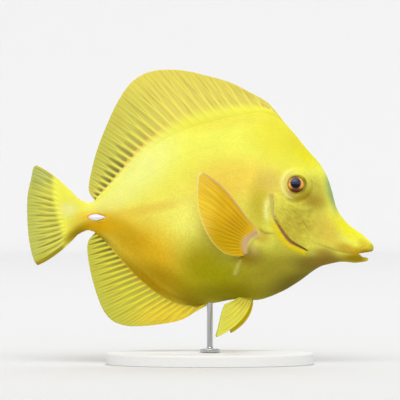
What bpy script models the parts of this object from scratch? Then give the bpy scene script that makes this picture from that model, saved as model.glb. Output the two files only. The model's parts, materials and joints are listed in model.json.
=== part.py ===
"""A yellow tang at life size, swimming, held over a plain oval base by one thin rod.

The fish faces +X, its back is up +Z, and its middle plane is Y = 0. The base's underside is Z = 0.
The body is one closed loft through upright stations. Flat outlines part it into head, lower jaw,
gill covers, torso and tail base. Every fin is a thin blade whose rays are ridges in its own faces.
Outlines are in millimetres (x, z), as seen from the side. The model itself is in metres.
"""

import math

import bmesh
import bpy
from mathutils import Vector

MM = 0.001
GAP = 0.3 * MM  # between pieces that meet

# Body stations from the tail base to the lips, in millimetres:
# back x, back z, belly x, belly z, height of the widest point as a share, half width.
STATIONS = [
    (-60.9, 83.1, -60.9, 65.0, 0.50, 3.3),
    (-55.9, 81.0, -55.9, 67.0, 0.50, 3.5),
    (-50.9, 83.2, -50.9, 64.8, 0.49, 4.2),
    (-44.9, 88.8, -45.9, 60.2, 0.48, 5.5),
    (-37.9, 96.2, -38.9, 52.5, 0.46, 7.2),
    (-29.9, 104.5, -30.9, 44.2, 0.45, 9.0),
    (-19.9, 112.0, -20.9, 36.1, 0.44, 10.7),
    (-7.9, 118.0, -8.9, 30.3, 0.44, 12.0),
    (6.1, 122.2, 4.1, 30.2, 0.44, 12.8),
    (20.1, 125.4, 17.1, 32.4, 0.44, 13.1),
    (31.1, 126.7, 29.1, 32.2, 0.44, 12.7),
    (39.1, 123.8, 40.1, 36.0, 0.45, 11.7),
    (46.1, 116.8, 49.1, 41.2, 0.46, 10.4),
    (53.1, 108.2, 55.6, 46.0, 0.47, 9.2),
    (59.1, 101.5, 60.1, 48.8, 0.46, 8.0),
    (63.4, 94.5, 64.1, 50.0, 0.44, 7.0),
    (65.9, 87.0, 67.1, 50.7, 0.44, 6.2),
    (68.1, 79.0, 70.1, 51.2, 0.44, 5.4),
    (71.1, 73.7, 73.6, 51.1, 0.45, 4.8),
    (75.6, 69.0, 77.1, 50.7, 0.45, 4.3),
    (80.6, 65.7, 80.6, 50.6, 0.47, 4.0),
    (84.1, 62.6, 83.3, 51.3, 0.50, 3.5),
    (86.0, 60.4, 85.1, 53.5, 0.50, 2.6),
    (86.7, 58.8, 86.4, 56.2, 0.50, 1.4),
]
STATION_STEPS = 2  # rings between one station and the next
RING_SIDES = 32
SECTION_SHARPNESS = 1.25  # 1 is an ellipse, and more narrows the back and the belly to keels

# Where the body is parted
GILL_OPENING = [
    (46.6, 134.0),
    (44.1, 121.0),
    (39.6, 104.5),
    (35.9, 92.0),
    (35.1, 84.5),
    (36.4, 78.0),
    (38.1, 72.0),
    (40.6, 66.8),
    (44.6, 62.8),
    (48.9, 59.8),
    (53.1, 56.8),
    (56.6, 52.0),
    (58.6, 40.0),
]
GILL_COVER_REAR = GILL_OPENING[4:11]  # the stretch of the opening that a cover closes
GILL_COVER_FRONT = [
    (55.4, 57.6),
    (55.6, 61.0),
    (54.4, 66.0),
    (51.6, 71.6),
    (48.1, 76.4),
    (44.1, 81.2),
    (39.6, 85.4),
]
GILL_COVER_PROUD = 0.5 * MM
GILL_COVER_DEPTH = 1.4 * MM
MOUTH_CORNER = (79.8, 55.5)
MOUTH_GAPE = [
    MOUTH_CORNER,
    (80.9, 56.0),
    (85.6, 55.9),
    (88.1, 56.0),
    (88.1, 50.0),
    (84.2, 52.2),
    (83.3, 53.6),
    (81.8, 54.8),
]
UPPER_LIP = [(81.2, 56.5), (83.6, 56.6), (85.2, 56.8), (86.2, 57.0)]
LOWER_LIP = [(80.9, 54.9), (82.2, 54.1), (83.1, 53.0), (83.7, 52.3)]
LIP_RADIUS = 0.6 * MM
LIP_CORNER = 0.45  # radius at the mouth's corners, as a share
LIP_STEPS = 14
FRONT_ZONE = GILL_OPENING + [(120.0, 40.0), (120.0, 134.0)]
JAW_ZONE = [MOUTH_CORNER, (76.1, 53.2), (72.1, 50.8), (70.1, 40.0), (100.0, 40.0), (100.0, 55.5)]
TAIL_ZONE = [(-47.0, 0.0), (-47.0, 160.0), (-100.0, 160.0), (-100.0, 0.0)]

# Eye, nostrils and tail spine
EYE_PLACE = (47.6 * MM, 90.0 * MM)
EYE_RADII = (5.5 * MM, 4.0 * MM, 5.5 * MM)
EYE_DEPTH = 2.8 * MM  # of its centre under the flank
ORBIT_RADIUS = 4.9 * MM
ORBIT_RIM = 0.9 * MM
ORBIT_DEPTH = 0.3 * MM
NOSTRILS = [(55.3 * MM, 92.6 * MM), (57.5 * MM, 91.2 * MM)]
NOSTRIL_RADIUS = 0.6 * MM
SPINE_PLACE = (-51.6 * MM, 73.6 * MM)
SPINE_RADII = (4.3 * MM, 0.9 * MM, 1.6 * MM)
SPINE_DEPTH = 0.2 * MM
SPINE_TAPER = 0.45  # how much lower its front point is than its middle

# Fins: a root is a range of stations, and a margin runs from the first ray to the last.
DORSAL_RAYS, DORSAL_SPINES = 29, 5
ANAL_RAYS, ANAL_SPINES = 24, 3
CAUDAL_RAYS, PECTORAL_RAYS, PELVIC_RAYS = 16, 15, 6
DORSAL_ROOT, DORSAL_LEAN = (11.45, 1.85), 0.75  # under 1, the rays lean back
ANAL_ROOT, ANAL_LEAN = (7.9, 1.85), 0.62
DORSAL_MARGIN = [
    (42.1, 121.0),
    (38.1, 126.2),
    (33.1, 131.5),
    (24.1, 136.5),
    (15.1, 141.0),
    (3.1, 144.5),
    (-8.9, 147.1),
    (-20.1, 147.3),
    (-28.0, 145.4),
    (-35.2, 140.3),
    (-41.6, 130.8),
    (-47.0, 119.2),
    (-51.2, 108.5),
    (-53.9, 99.0),
    (-55.7, 90.0),
    (-55.4, 86.0),
    (-53.6, 83.2),
]
ANAL_MARGIN = [
    (3.1, 29.4),
    (-2.9, 26.0),
    (-7.4, 23.2),
    (-12.9, 21.3),
    (-20.9, 20.0),
    (-29.9, 19.2),
    (-37.1, 19.4),
    (-43.8, 21.8),
    (-48.4, 27.0),
    (-51.9, 35.5),
    (-54.8, 46.0),
    (-56.4, 56.0),
    (-56.0, 61.6),
    (-53.5, 64.8),
]
CAUDAL_MARGIN = [
    (-81.8, 99.6),
    (-83.4, 98.5),
    (-84.6, 93.0),
    (-86.2, 85.5),
    (-86.6, 79.0),
    (-86.4, 70.7),
    (-85.7, 62.8),
    (-84.2, 55.5),
    (-82.7, 51.2),
    (-81.2, 49.6),
]
CAUDAL_BOW = 1.7 * MM  # how far the outer rays bow out
CAUDAL_FLESH = 0.42  # share of the rays over which the tail base's thickness fades
PECTORAL_BASE = [(29.6, 65.5), (25.6, 63.6), (23.4, 60.4), (22.6, 57.4), (23.1, 54.8)]
PECTORAL_MARGIN = [
    (1.6, 95.5),
    (-0.9, 95.2),
    (-1.9, 91.0),
    (-2.0, 84.5),
    (-0.9, 76.5),
    (2.1, 68.0),
    (6.5, 60.8),
    (12.5, 55.7),
    (19.1, 54.2),
]
PECTORAL_SINK = 1.3 * MM
PECTORAL_LIFT = 1.5 * MM  # the fleshy root lifts the fan off the flank
PECTORAL_LIFT_REACH = 3.0 * MM
PECTORAL_SPLAY = 0.33  # outward rise for each unit along the fin
PECTORAL_FLESH, PECTORAL_FLESH_REACH = 0.8 * MM, 0.22
PELVIC_BASE = [(26.3, 34.5), (17.6, 34.6)]
PELVIC_MARGIN = [(8.1, 14.3), (7.5, 15.2), (8.5, 18.2), (9.5, 22.2), (10.6, 26.6), (12.0, 30.2)]
PELVIC_ROOT_Y = 1.7 * MM
PELVIC_BOW = Vector((3.1, 0, -1.9)) * MM  # of the leading spine, down and forward
PELVIC_SPLAY = 0.45
PELVIC_FLESH = 0.4 * MM
FAR_PELVIC_SPLAY = 0.95  # the left one is held further forward and out
FAR_PELVIC_SWING = math.radians(14)
FAR_PELVIC_SHORT = 0.82
ROOT_SINK = 1.8 * MM  # how deep a root starts in the body, before it is cut clear
MEMBRANE = 0.3 * MM  # half thickness between the rays
RAY_HEIGHT = 0.42 * MM
RAY_FOOT = 0.25  # half width of a ray's ridge, as a share of the space between rays
RAY_TAPER_FROM, RAY_TIP = 0.3, 0.3  # where a ridge starts to sink, and its height at the margin
RAY_RISE = (0.1, 0.33)  # where the ridges rise out of a fleshy root
SPINE_STRENGTH = 1.4
SHEATH = 0.7 * MM  # added to the half thickness at a fin's root
SHEATH_REACH = 0.16
MEDIAN_ROWS = (0, 0.09, 0.2, 0.55, 1)  # places of a blade's points along its rays
CAUDAL_ROWS = (0, 0.15, 0.3, 0.45, 0.7, 1)
PECTORAL_ROWS = (0, 0.08, 0.2, 0.5, 1)
PELVIC_ROWS = (0, 0.2, 0.4, 0.7, 1)

# Stand
BASE_RADII = (52.0 * MM, 30.0 * MM)
BASE_HEIGHT = 6.0 * MM
BASE_ROUNDING = 1.2 * MM
BASE_SIDES = 48
ROD_X = 4.8 * MM
ROD_RADIUS = 1.5 * MM
ROD_FOOT_RADIUS = 5.0 * MM
ROD_FOOT_HEIGHT = 1.6 * MM
ROD_FILLET = 1.2 * MM
ROD_FOOT_EDGE = 0.4 * MM
ROD_TOP = 34.0 * MM
ROD_SIDES = 20

FAR = 0.2  # half width of a cutter that passes right through
CREASE = math.radians(40)
SIDES = (("left", 1), ("right", -1))

for item in list(bpy.data.objects):
    bpy.data.objects.remove(item)
fish = bpy.data.collections.new("yellow_tang")
cutters = bpy.data.collections.new("cutters")
bpy.context.scene.collection.children.link(fish)
bpy.context.scene.collection.children.link(cutters)


def material(name, colour, roughness, metallic=0.0):
    """A plain Principled material."""
    made = bpy.data.materials.new(name)
    made.use_nodes = True
    shader = made.node_tree.nodes["Principled BSDF"]
    shader.inputs["Base Color"].default_value = (*colour, 1)
    shader.inputs["Roughness"].default_value = roughness
    shader.inputs["Metallic"].default_value = metallic
    return made


def curve_value(before, first, second, after, share):
    """One number of a smooth curve that passes from first to second."""
    return 0.5 * (
        2 * first
        + (second - before) * share
        + (2 * before - 5 * first + 4 * second - after) * share**2
        + (3 * first - before - 3 * second + after) * share**3
    )


def smooth_row(rows, place):
    """The row of numbers at a place along a list of rows, on a smooth curve through them."""
    last = len(rows) - 1
    index = min(int(place), last - 1)
    around = [rows[max(0, min(last, index + k))] for k in (-1, 0, 1, 2)]
    return [curve_value(*values, place - index) for values in zip(*around)]


def evenly(points, steps_each=8):
    """A function from 0..1 to the point at that share of the length of a smooth curve."""
    count = (len(points) - 1) * steps_each
    line = [Vector(smooth_row(points, k / steps_each)) for k in range(count + 1)]
    lengths = [0.0]
    for start, end in zip(line, line[1:]):
        lengths.append(lengths[-1] + (end - start).length)

    def at(share):
        goal = max(0.0, min(1.0, share)) * lengths[-1]
        k = 1
        while k < count and lengths[k] < goal:
            k += 1
        return line[k - 1].lerp(line[k], (goal - lengths[k - 1]) / (lengths[k] - lengths[k - 1]))

    return at


def smoothstep(low, high, value):
    share = max(0.0, min(1.0, (value - low) / (high - low)))
    return share * share * (3 - 2 * share)


def station(place):
    """Back point, belly point, share of the widest height and half width, in metres."""
    back_x, back_z, belly_x, belly_z, widest, half = smooth_row(STATIONS, place)
    back = Vector((back_x, 0, back_z)) * MM
    belly = Vector((belly_x, 0, belly_z)) * MM
    return back, belly, widest, half * MM


def section_half_width(share, widest, half):
    """Half width of a station at a share of its height."""
    reach = (share - widest) / (1 - widest) if share > widest else (widest - share) / widest
    return half * max(0.0, 1 - reach * reach) ** (SECTION_SHARPNESS / 2)


def flank(x, z):
    """Half width of the body at a point seen from the side."""
    low, high = 0.0, len(STATIONS) - 1.0
    for _ in range(30):
        middle = (low + high) / 2
        back, belly, widest, half = station(middle)
        share = (z - belly.z) / (back.z - belly.z)
        if belly.x + (back.x - belly.x) * share < x:
            low = middle
        else:
            high = middle
    return section_half_width(max(0.0, min(1.0, share)), widest, half)


def on_flank(place, depth, side):
    """A point under the flank's surface and the outward normal there. The left side is +1."""
    x, z = place
    step = 0.5 * MM
    slope_x = (flank(x + step, z) - flank(x - step, z)) / (2 * step)
    slope_z = (flank(x, z + step) - flank(x, z - step)) / (2 * step)
    normal = Vector((-slope_x, 1, -slope_z)).normalized()
    point = Vector((x, flank(x, z), z)) - normal * depth
    return across(point, side), across(normal, side)


def across(vector, side):
    """The same vector on the left (+1) or mirrored to the right (-1)."""
    return Vector((vector.x, side * vector.y, vector.z))


def new_object(name, bm, as_cutter=False):
    """An object from a bmesh, with its faces turned to point out."""
    bmesh.ops.recalc_face_normals(bm, faces=bm.faces)
    if bm.calc_volume(signed=True) < 0:
        bmesh.ops.reverse_faces(bm, faces=bm.faces)
    mesh = bpy.data.meshes.new(name)
    bm.to_mesh(mesh)
    bm.free()
    made = bpy.data.objects.new(name, mesh)
    (cutters if as_cutter else fish).objects.link(made)
    if as_cutter:
        made.hide_render = True
        made.display_type = "WIRE"
    return made


def body_loft(name, grow=0.0, widen=0.0, as_cutter=True):
    """The whole body as one closed loft. It can be grown all round, or only made wider."""
    bm = bmesh.new()
    rings = []
    for k in range((len(STATIONS) - 1) * STATION_STEPS + 1):
        back, belly, widest, half = station(k / STATION_STEPS)
        half = max(MEMBRANE, half + widen)
        rings.append([])
        for m in range(RING_SIDES):
            angle = 2 * math.pi * m / RING_SIDES
            rise = math.sin(angle)
            share = widest + (1 - widest) * rise if rise > 0 else widest * (1 + rise)
            side = math.copysign(abs(math.cos(angle)) ** SECTION_SHARPNESS, math.cos(angle))
            rings[-1].append(bm.verts.new(belly.lerp(back, share) + Vector((0, half * side, 0))))
    for near, far in zip(rings, rings[1:]):
        for m in range(RING_SIDES):
            after = (m + 1) % RING_SIDES
            bm.faces.new((near[m], near[after], far[after], far[m]))
    bm.faces.new(rings[0])
    bm.faces.new(rings[-1])
    bmesh.ops.recalc_face_normals(bm, faces=bm.faces)
    bm.normal_update()
    moved = [(vert, vert.normal * grow) for vert in bm.verts]
    for vert, move in moved:
        vert.co += move
    return new_object(name, bm, as_cutter)


def meshed(holder, as_cutter=True):
    """A welded mesh object in place of a curve or of an object with modifiers."""
    bpy.context.view_layer.update()
    graph = bpy.context.evaluated_depsgraph_get()
    mesh = bpy.data.meshes.new_from_object(holder.evaluated_get(graph))
    bm = bmesh.new()
    bm.from_mesh(mesh)
    bm.transform(holder.matrix_world)
    bmesh.ops.remove_doubles(bm, verts=bm.verts, dist=GAP / 30)
    name = holder.name
    bpy.data.objects.remove(holder)
    return new_object(name, bm, as_cutter)


def prism(name, outline_mm, side=0, as_cutter=True):
    """A closed outline seen from the side, given thickness across the fish or on one side."""
    curve = bpy.data.curves.new(name, "CURVE")
    curve.dimensions = "2D"
    curve.fill_mode = "BOTH"
    curve.extrude = FAR
    spline = curve.splines.new("POLY")
    spline.points.add(len(outline_mm) - 1)
    for point, (x, z) in zip(spline.points, outline_mm):
        point.co = (x * MM, z * MM, 0, 1)
    spline.use_cyclic_u = True
    holder = bpy.data.objects.new(name, curve)
    holder.rotation_euler.x = math.pi / 2
    holder.location.y = side * FAR
    cutters.objects.link(holder)
    return meshed(holder, as_cutter)


def grown(outline_mm):
    """A closed outline with every side moved out by the gap."""
    points = [Vector(point) for point in outline_mm]
    area = sum(start.cross(end) for start, end in zip(points, points[1:] + points[:1]))
    distance = math.copysign(GAP / MM, area)
    moved = []
    for k, point in enumerate(points):
        before = (point - points[k - 1]).normalized()
        after = (points[(k + 1) % len(points)] - point).normalized()
        outward = Vector((before.y + after.y, -before.x - after.x)).normalized()
        reach = max(0.5, outward.dot(Vector((before.y, -before.x))))
        moved.append(tuple(point + outward * distance / reach))
    return moved


def ellipsoid(name, centre, radii, normal, as_cutter=True, segments=18, rings=10):
    """An ellipsoid whose own Y axis is turned to the normal."""
    turn = Vector((0, 1, 0)).rotation_difference(normal)
    bm = bmesh.new()
    bmesh.ops.create_uvsphere(bm, u_segments=segments, v_segments=rings, radius=1)
    for vert in bm.verts:
        vert.co = turn @ Vector([a * b for a, b in zip(vert.co, radii)]) + centre
    return new_object(name, bm, as_cutter)


def combine(target, other, operation, solver="EXACT"):
    """Applies a Boolean to the target and removes the other object."""
    modifier = target.modifiers.new(operation.title(), "BOOLEAN")
    modifier.operation = operation
    modifier.solver = solver
    modifier.object = other
    bpy.context.view_layer.update()
    graph = bpy.context.evaluated_depsgraph_get()
    target.data = bpy.data.meshes.new_from_object(target.evaluated_get(graph))
    target.modifiers.clear()
    keep_largest(target.data)
    bpy.data.objects.remove(other)
    return target


def cut(target, other):
    return combine(target, other, "DIFFERENCE")


def common(target, other):
    return combine(target, other, "INTERSECT")


def join(target, other):
    return combine(target, other, "UNION")


def keep_largest(mesh):
    """Keeps only the closed surface that holds the largest volume."""
    bm = bmesh.new()
    bm.from_mesh(mesh)
    bmesh.ops.remove_doubles(bm, verts=bm.verts, dist=GAP / 200)
    waiting, surfaces = set(bm.faces), []
    while waiting:
        edge_of, surface = [waiting.pop()], []
        while edge_of:
            face = edge_of.pop()
            surface.append(face)
            for other in {near for edge in face.edges for near in edge.link_faces} & waiting:
                waiting.remove(other)
                edge_of.append(other)
        surfaces.append(surface)
    surfaces.sort(key=enclosed_volume)
    loose = {vert for surface in surfaces[:-1] for face in surface for vert in face.verts}
    bmesh.ops.delete(bm, geom=list(loose), context="VERTS")
    bm.to_mesh(mesh)
    bm.free()


def enclosed_volume(faces):
    """Volume inside a closed set of faces."""
    total = 0.0
    for face in faces:
        corners = [vert.co for vert in face.verts]
        for second, third in zip(corners[1:], corners[2:]):
            total += corners[0].dot(second.cross(third)) / 6
    return abs(total)


def clear_of_body(piece):
    """Cuts a piece's sunk end back to the skin, with the gap. The exact solver loses thin fins."""
    return combine(piece, body_loft("room", grow=GAP), "DIFFERENCE", "MANIFOLD")


def lip(name, outline_mm):
    """A soft lip that runs round the front of one jaw, thinner towards the mouth's corners."""
    one_side = [Vector((x, flank(x * MM, z * MM) / MM, z)) for x, z in outline_mm]
    points = one_side + [across(point, -1) for point in reversed(one_side)]
    at = evenly([tuple(point) for point in points])
    curve = bpy.data.curves.new(name, "CURVE")
    curve.dimensions = "3D"
    curve.bevel_depth = LIP_RADIUS
    curve.bevel_resolution = 1
    curve.use_fill_caps = True
    spline = curve.splines.new("POLY")
    spline.points.add(LIP_STEPS)
    for k, point in enumerate(spline.points):
        share = k / LIP_STEPS
        point.co = (*(at(share) * MM), 1)
        point.radius = LIP_CORNER + (1 - LIP_CORNER) * math.sin(math.pi * share)
    holder = bpy.data.objects.new(name, curve)
    cutters.objects.link(holder)
    return meshed(holder)


def orbit_rim(side):
    """A ring of skin round the eye, lying on the flank."""
    centre, normal = on_flank(EYE_PLACE, ORBIT_DEPTH, side)
    bpy.ops.mesh.primitive_torus_add(
        major_radius=ORBIT_RADIUS,
        minor_radius=ORBIT_RIM,
        major_segments=24,
        minor_segments=6,
        location=centre,
        rotation=Vector((0, 0, 1)).rotation_difference(normal).to_euler(),
    )
    ring = bpy.context.object
    ring.name = "orbit_rim"
    return meshed(ring)


def eye(name, side, grow=0.0, as_cutter=False):
    centre, normal = on_flank(EYE_PLACE, EYE_DEPTH, side)
    return ellipsoid(name, centre, [radius + grow for radius in EYE_RADII], normal, as_cutter)


def tail_spine(name, side, grow=0.0, as_cutter=False):
    """The spine on the tail base: blunt behind, and pointed towards the head."""
    centre, normal = on_flank(SPINE_PLACE, SPINE_DEPTH, side)
    radii = [radius + grow for radius in SPINE_RADII]
    spine = ellipsoid(name, centre, radii, normal, as_cutter, 16, 10)
    for vert in spine.data.vertices:
        ahead = max(0.0, (vert.co.x - centre.x) / radii[0])
        vert.co.z = centre.z + (vert.co.z - centre.z) * (1 - SPINE_TAPER * ahead)
    return spine


def gill_cover(name, side):
    """A thin plate of the flank's own curve that stands a little proud."""
    cover = prism(name, GILL_COVER_REAR + GILL_COVER_FRONT, side, as_cutter=False)
    common(cover, body_loft("outside", widen=GILL_COVER_PROUD))
    return cut(cover, body_loft("inside", widen=-GILL_COVER_DEPTH))


def head():
    """The head, with beds for the gill covers, eye sockets, orbit rims, nostrils and upper lip."""
    made = common(body_loft("head", as_cutter=False), prism("front", FRONT_ZONE))
    cut(made, prism("gape", MOUTH_GAPE))
    cut(made, prism("jaw_room", grown(JAW_ZONE)))
    join(made, lip("upper_lip", UPPER_LIP))
    for _, side in SIDES:
        bed = prism("gill_bed", grown(GILL_COVER_REAR + GILL_COVER_FRONT), side)
        cut(made, cut(bed, body_loft("core", widen=-GILL_COVER_DEPTH - GAP)))
        join(made, orbit_rim(side))
        cut(made, eye("socket", side, GAP, True))
        for place in NOSTRILS:
            centre, normal = on_flank(place, 0.0, side)
            pit = [NOSTRIL_RADIUS] * 3
            cut(made, ellipsoid("nostril", centre, pit, normal, True, 10, 6))
    return made


def lower_jaw():
    jaw = common(body_loft("lower_jaw", as_cutter=False), prism("jaw_zone", JAW_ZONE))
    cut(jaw, prism("gape", MOUTH_GAPE))
    return join(jaw, lip("lower_lip", LOWER_LIP))


def torso():
    """The flank from the gill opening back to the tail base."""
    made = cut(body_loft("torso", as_cutter=False), prism("front", grown(FRONT_ZONE)))
    return cut(made, prism("rear", grown(TAIL_ZONE)))


def tail_peduncle():
    """The narrow tail base, with a groove for the spine on each side."""
    made = common(body_loft("tail_peduncle", as_cutter=False), prism("rear", TAIL_ZONE))
    for _, side in SIDES:
        cut(made, tail_spine("groove", side, GAP, True))
    return made


def blade(name, rays, rows, place, half_thickness):
    """A thin closed blade whose rays are ridges of its own two faces."""
    columns = []
    for k in range(rays):
        middle, foot = k / (rays - 1), RAY_FOOT / (rays - 1)
        columns += [(middle - foot, 0), (middle, 1), (middle + foot, 0)]
    columns = columns[1:-1]
    bm = bmesh.new()
    faces = []
    for side in (1, -1):
        grid = []
        for u, crest in columns:
            grid.append([])
            for v in rows:
                offset = blade_normal(place, u, v) * half_thickness(u, v, crest) * side
                grid[-1].append(bm.verts.new(place(u, v) + offset))
        faces.append(grid)
        for near, far in zip(grid, grid[1:]):
            for j in range(len(rows) - 1):
                bm.faces.new((near[j], far[j], far[j + 1]))
                bm.faces.new((near[j], far[j + 1], near[j + 1]))
    last, top = len(columns) - 1, len(rows) - 1
    rim = [(k, 0) for k in range(last)] + [(last, j) for j in range(top)]
    rim += [(k, top) for k in range(last, 0, -1)] + [(0, j) for j in range(top, 0, -1)]
    front, back = faces
    for (k, j), (m, n) in zip(rim, rim[1:] + rim[:1]):
        bm.faces.new((front[k][j], front[m][n], back[m][n], back[k][j]))
    return new_object(name, bm)


def blade_normal(place, u, v):
    """Unit normal of a blade's middle surface."""
    step = 0.01  # as a share of the blade each way
    over = place(min(1.0, u + step), v) - place(max(0.0, u - step), v)
    along = place(u, min(1.0, v + step)) - place(u, max(0.0, v - step))
    return over.cross(along).normalized()


def ridge(v):
    """Height of a ray's ridge along its length."""
    return RAY_HEIGHT * (1 - (1 - RAY_TIP) * smoothstep(RAY_TAPER_FROM, 1, v))


def sheath(v, height=SHEATH, reach=SHEATH_REACH):
    """Added half thickness over a fin's root."""
    return height * (1 - smoothstep(0.0, reach, v))


def side_curve(points_mm):
    """A function from 0..1 to the point at that share of an outline seen from the side."""
    at = evenly(points_mm)

    def point(share):
        x, z = at(share)
        return Vector((x, 0, z)) * MM

    return point


def keel_curve(first, last, edge):
    """A function from 0..1 to a point sunk under the back (edge 0) or above the belly (edge 1)."""
    steps = 24
    line = []
    for k in range(steps + 1):
        ends = station(first + (last - first) * k / steps)
        inward = (ends[1 - edge] - ends[edge]).normalized()
        line.append(tuple(ends[edge] + inward * ROOT_SINK))
    return evenly(line, 2)


def median_fin(name, rays, spines, root, lean, edge, margin_mm):
    """The dorsal (edge 0) or anal (edge 1) fin, from its sunk root to its margin."""
    base = keel_curve(*root, edge)
    margin = side_curve(margin_mm)

    def place(u, v):
        return base(u).lerp(margin(max(0.0, u) ** lean), v)

    def half_thickness(u, v, crest):
        strength = SPINE_STRENGTH if u < spines / rays else 1
        return MEMBRANE + sheath(v) + ridge(v) * strength * crest

    return clear_of_body(blade(name, rays, MEDIAN_ROWS, place, half_thickness))


def caudal_fin():
    """The tail fin. Its root face has the section of the tail base's flat end."""
    back, belly, widest, half = station(0)
    clear = Vector((GAP, 0, 0))
    margin = side_curve(CAUDAL_MARGIN)

    def place(u, v):
        bow = Vector((0, 0, 4 * v * (1 - v) * (1 - 2 * u) * CAUDAL_BOW))
        return (back - clear).lerp(belly - clear, u).lerp(margin(u), v) + bow

    def half_thickness(u, v, crest):
        flesh = section_half_width(1 - u, widest, half) * (1 - smoothstep(0, CAUDAL_FLESH, v))
        return max(MEMBRANE, flesh) + ridge(v) * smoothstep(*RAY_RISE, v) * crest

    return blade("caudal_fin", CAUDAL_RAYS, CAUDAL_ROWS, place, half_thickness)


def pectoral_fin(name, side):
    """A pectoral fin: a fan on a fleshy root that stands out from the flank."""
    base = side_curve(PECTORAL_BASE)
    margin = side_curve(PECTORAL_MARGIN)

    def place(u, v):
        root = base(u)
        point = root.lerp(margin(u), v)
        reach = (point - root).length
        lift = PECTORAL_LIFT * smoothstep(0, PECTORAL_LIFT_REACH, reach)
        point.y = flank(root.x, root.z) - PECTORAL_SINK + lift + PECTORAL_SPLAY * reach
        return across(point, side)

    def half_thickness(u, v, crest):
        flesh = sheath(v, PECTORAL_FLESH, PECTORAL_FLESH_REACH)
        return MEMBRANE + flesh + ridge(v) * smoothstep(*RAY_RISE, v) * crest

    return clear_of_body(blade(name, PECTORAL_RAYS, PECTORAL_ROWS, place, half_thickness))


def pelvic_fin(name, side, splay, swing, length):
    """A pelvic fin, splayed out from the belly's keel and swung forward from its root."""
    base = side_curve(PELVIC_BASE)
    margin = side_curve(PELVIC_MARGIN)
    pivot = base(0)

    def place(u, v):
        root = base(u)
        point = root.lerp(margin(u), v * length) + PELVIC_BOW * (4 * v * (1 - v) * (1 - u))
        out = PELVIC_ROOT_Y + splay * (point - root).length
        offset = point - pivot
        turned_x = offset.x * math.cos(swing) - offset.z * math.sin(swing)
        turned_z = offset.x * math.sin(swing) + offset.z * math.cos(swing)
        return pivot + Vector((turned_x, side * out, turned_z))

    def half_thickness(u, v, crest):
        strength = SPINE_STRENGTH if u < 1 / PELVIC_RAYS else 1
        return MEMBRANE + sheath(v, PELVIC_FLESH) + ridge(v) * strength * crest

    return clear_of_body(blade(name, PELVIC_RAYS, PELVIC_ROWS, place, half_thickness))


def stand_base():
    """An oval plate with a rounded upper edge."""
    bm = bmesh.new()
    bmesh.ops.create_cone(
        bm, cap_ends=True, segments=BASE_SIDES, radius1=1, radius2=1, depth=BASE_HEIGHT
    )
    for vert in bm.verts:
        vert.co.x = vert.co.x * BASE_RADII[0] + ROD_X
        vert.co.y *= BASE_RADII[1]
        vert.co.z += BASE_HEIGHT / 2
    rim = [edge for edge in bm.edges if all(vert.co.z > BASE_HEIGHT / 2 for vert in edge.verts)]
    bmesh.ops.bevel(
        bm, geom=rim, offset=BASE_ROUNDING, segments=2, profile=0.5, affect="EDGES"
    )
    return new_object("stand_base", bm)


def stand_rod():
    """A rod on a small round foot, turned as one piece, and cut to fit under the belly."""
    floor = BASE_HEIGHT + GAP
    shoulder = floor + ROD_FOOT_HEIGHT
    profile = [
        (0, ROD_TOP),
        (ROD_RADIUS, ROD_TOP),
        (ROD_RADIUS, shoulder + ROD_FILLET),
        (ROD_RADIUS + ROD_FILLET * 0.3, shoulder + ROD_FILLET * 0.3),
        (ROD_RADIUS + ROD_FILLET, shoulder),
        (ROD_FOOT_RADIUS - ROD_FOOT_EDGE, shoulder),
        (ROD_FOOT_RADIUS, shoulder - ROD_FOOT_EDGE),
        (ROD_FOOT_RADIUS, floor),
        (0, floor),
    ]
    mesh = bpy.data.meshes.new("stand_rod")
    points = [(radius, 0, z) for radius, z in profile]
    mesh.from_pydata(points, [(k, k + 1) for k in range(len(points) - 1)], [])
    holder = bpy.data.objects.new("stand_rod", mesh)
    holder.location.x = ROD_X
    cutters.objects.link(holder)
    turning = holder.modifiers.new("Turning", "SCREW")
    turning.steps = turning.render_steps = ROD_SIDES
    turning.use_merge_vertices = True
    turning.merge_threshold = 0.00001
    return clear_of_body(meshed(holder, as_cutter=False))


def finish(objects, look):
    """Gives the objects their material and smooth shading with creased edges."""
    for made in objects:
        made.data.materials.clear()
        made.data.materials.append(look)
        made.data.shade_smooth()
        made.data.set_sharp_from_angle(angle=CREASE)


def main():
    skin = material("yellow_skin", (0.82, 0.72, 0.05), 0.45)
    fins = material("yellow_fin", (0.72, 0.66, 0.12), 0.5)
    spine = material("white_spine", (0.88, 0.87, 0.82), 0.4)
    pupil = material("dark_eye", (0.02, 0.02, 0.03), 0.12)
    plate = material("pale_plate", (0.78, 0.78, 0.76), 0.5)
    steel = material("rod_steel", (0.62, 0.62, 0.63), 0.35, 1.0)

    flesh = [head(), lower_jaw(), torso(), tail_peduncle()]
    flesh += [gill_cover(f"gill_cover_{name}", side) for name, side in SIDES]
    finish(flesh, skin)

    blades = [
        median_fin(
            "dorsal_fin", DORSAL_RAYS, DORSAL_SPINES, DORSAL_ROOT, DORSAL_LEAN, 0, DORSAL_MARGIN
        ),
        median_fin("anal_fin", ANAL_RAYS, ANAL_SPINES, ANAL_ROOT, ANAL_LEAN, 1, ANAL_MARGIN),
        caudal_fin(),
        pelvic_fin("pelvic_fin_left", 1, FAR_PELVIC_SPLAY, FAR_PELVIC_SWING, FAR_PELVIC_SHORT),
        pelvic_fin("pelvic_fin_right", -1, PELVIC_SPLAY, 0.0, 1.0),
    ]
    blades += [pectoral_fin(f"pectoral_fin_{name}", side) for name, side in SIDES]
    finish(blades, fins)

    finish([eye(f"eye_{name}", side) for name, side in SIDES], pupil)
    finish([tail_spine(f"tail_spine_{name}", side) for name, side in SIDES], spine)
    finish([stand_base()], plate)
    finish([stand_rod()], steel)


main()
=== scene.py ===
# %% [markdown]
# # A yellow tang on a plain stand
#
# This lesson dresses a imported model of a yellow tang. The model's solids stay where they are.
# We lay one smooth skin over them, then scales, fins with branched rays, eyes, tail spines and
# a stand. The fish faces +X, its back is up +Z, and its middle plane is Y = 0.

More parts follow.
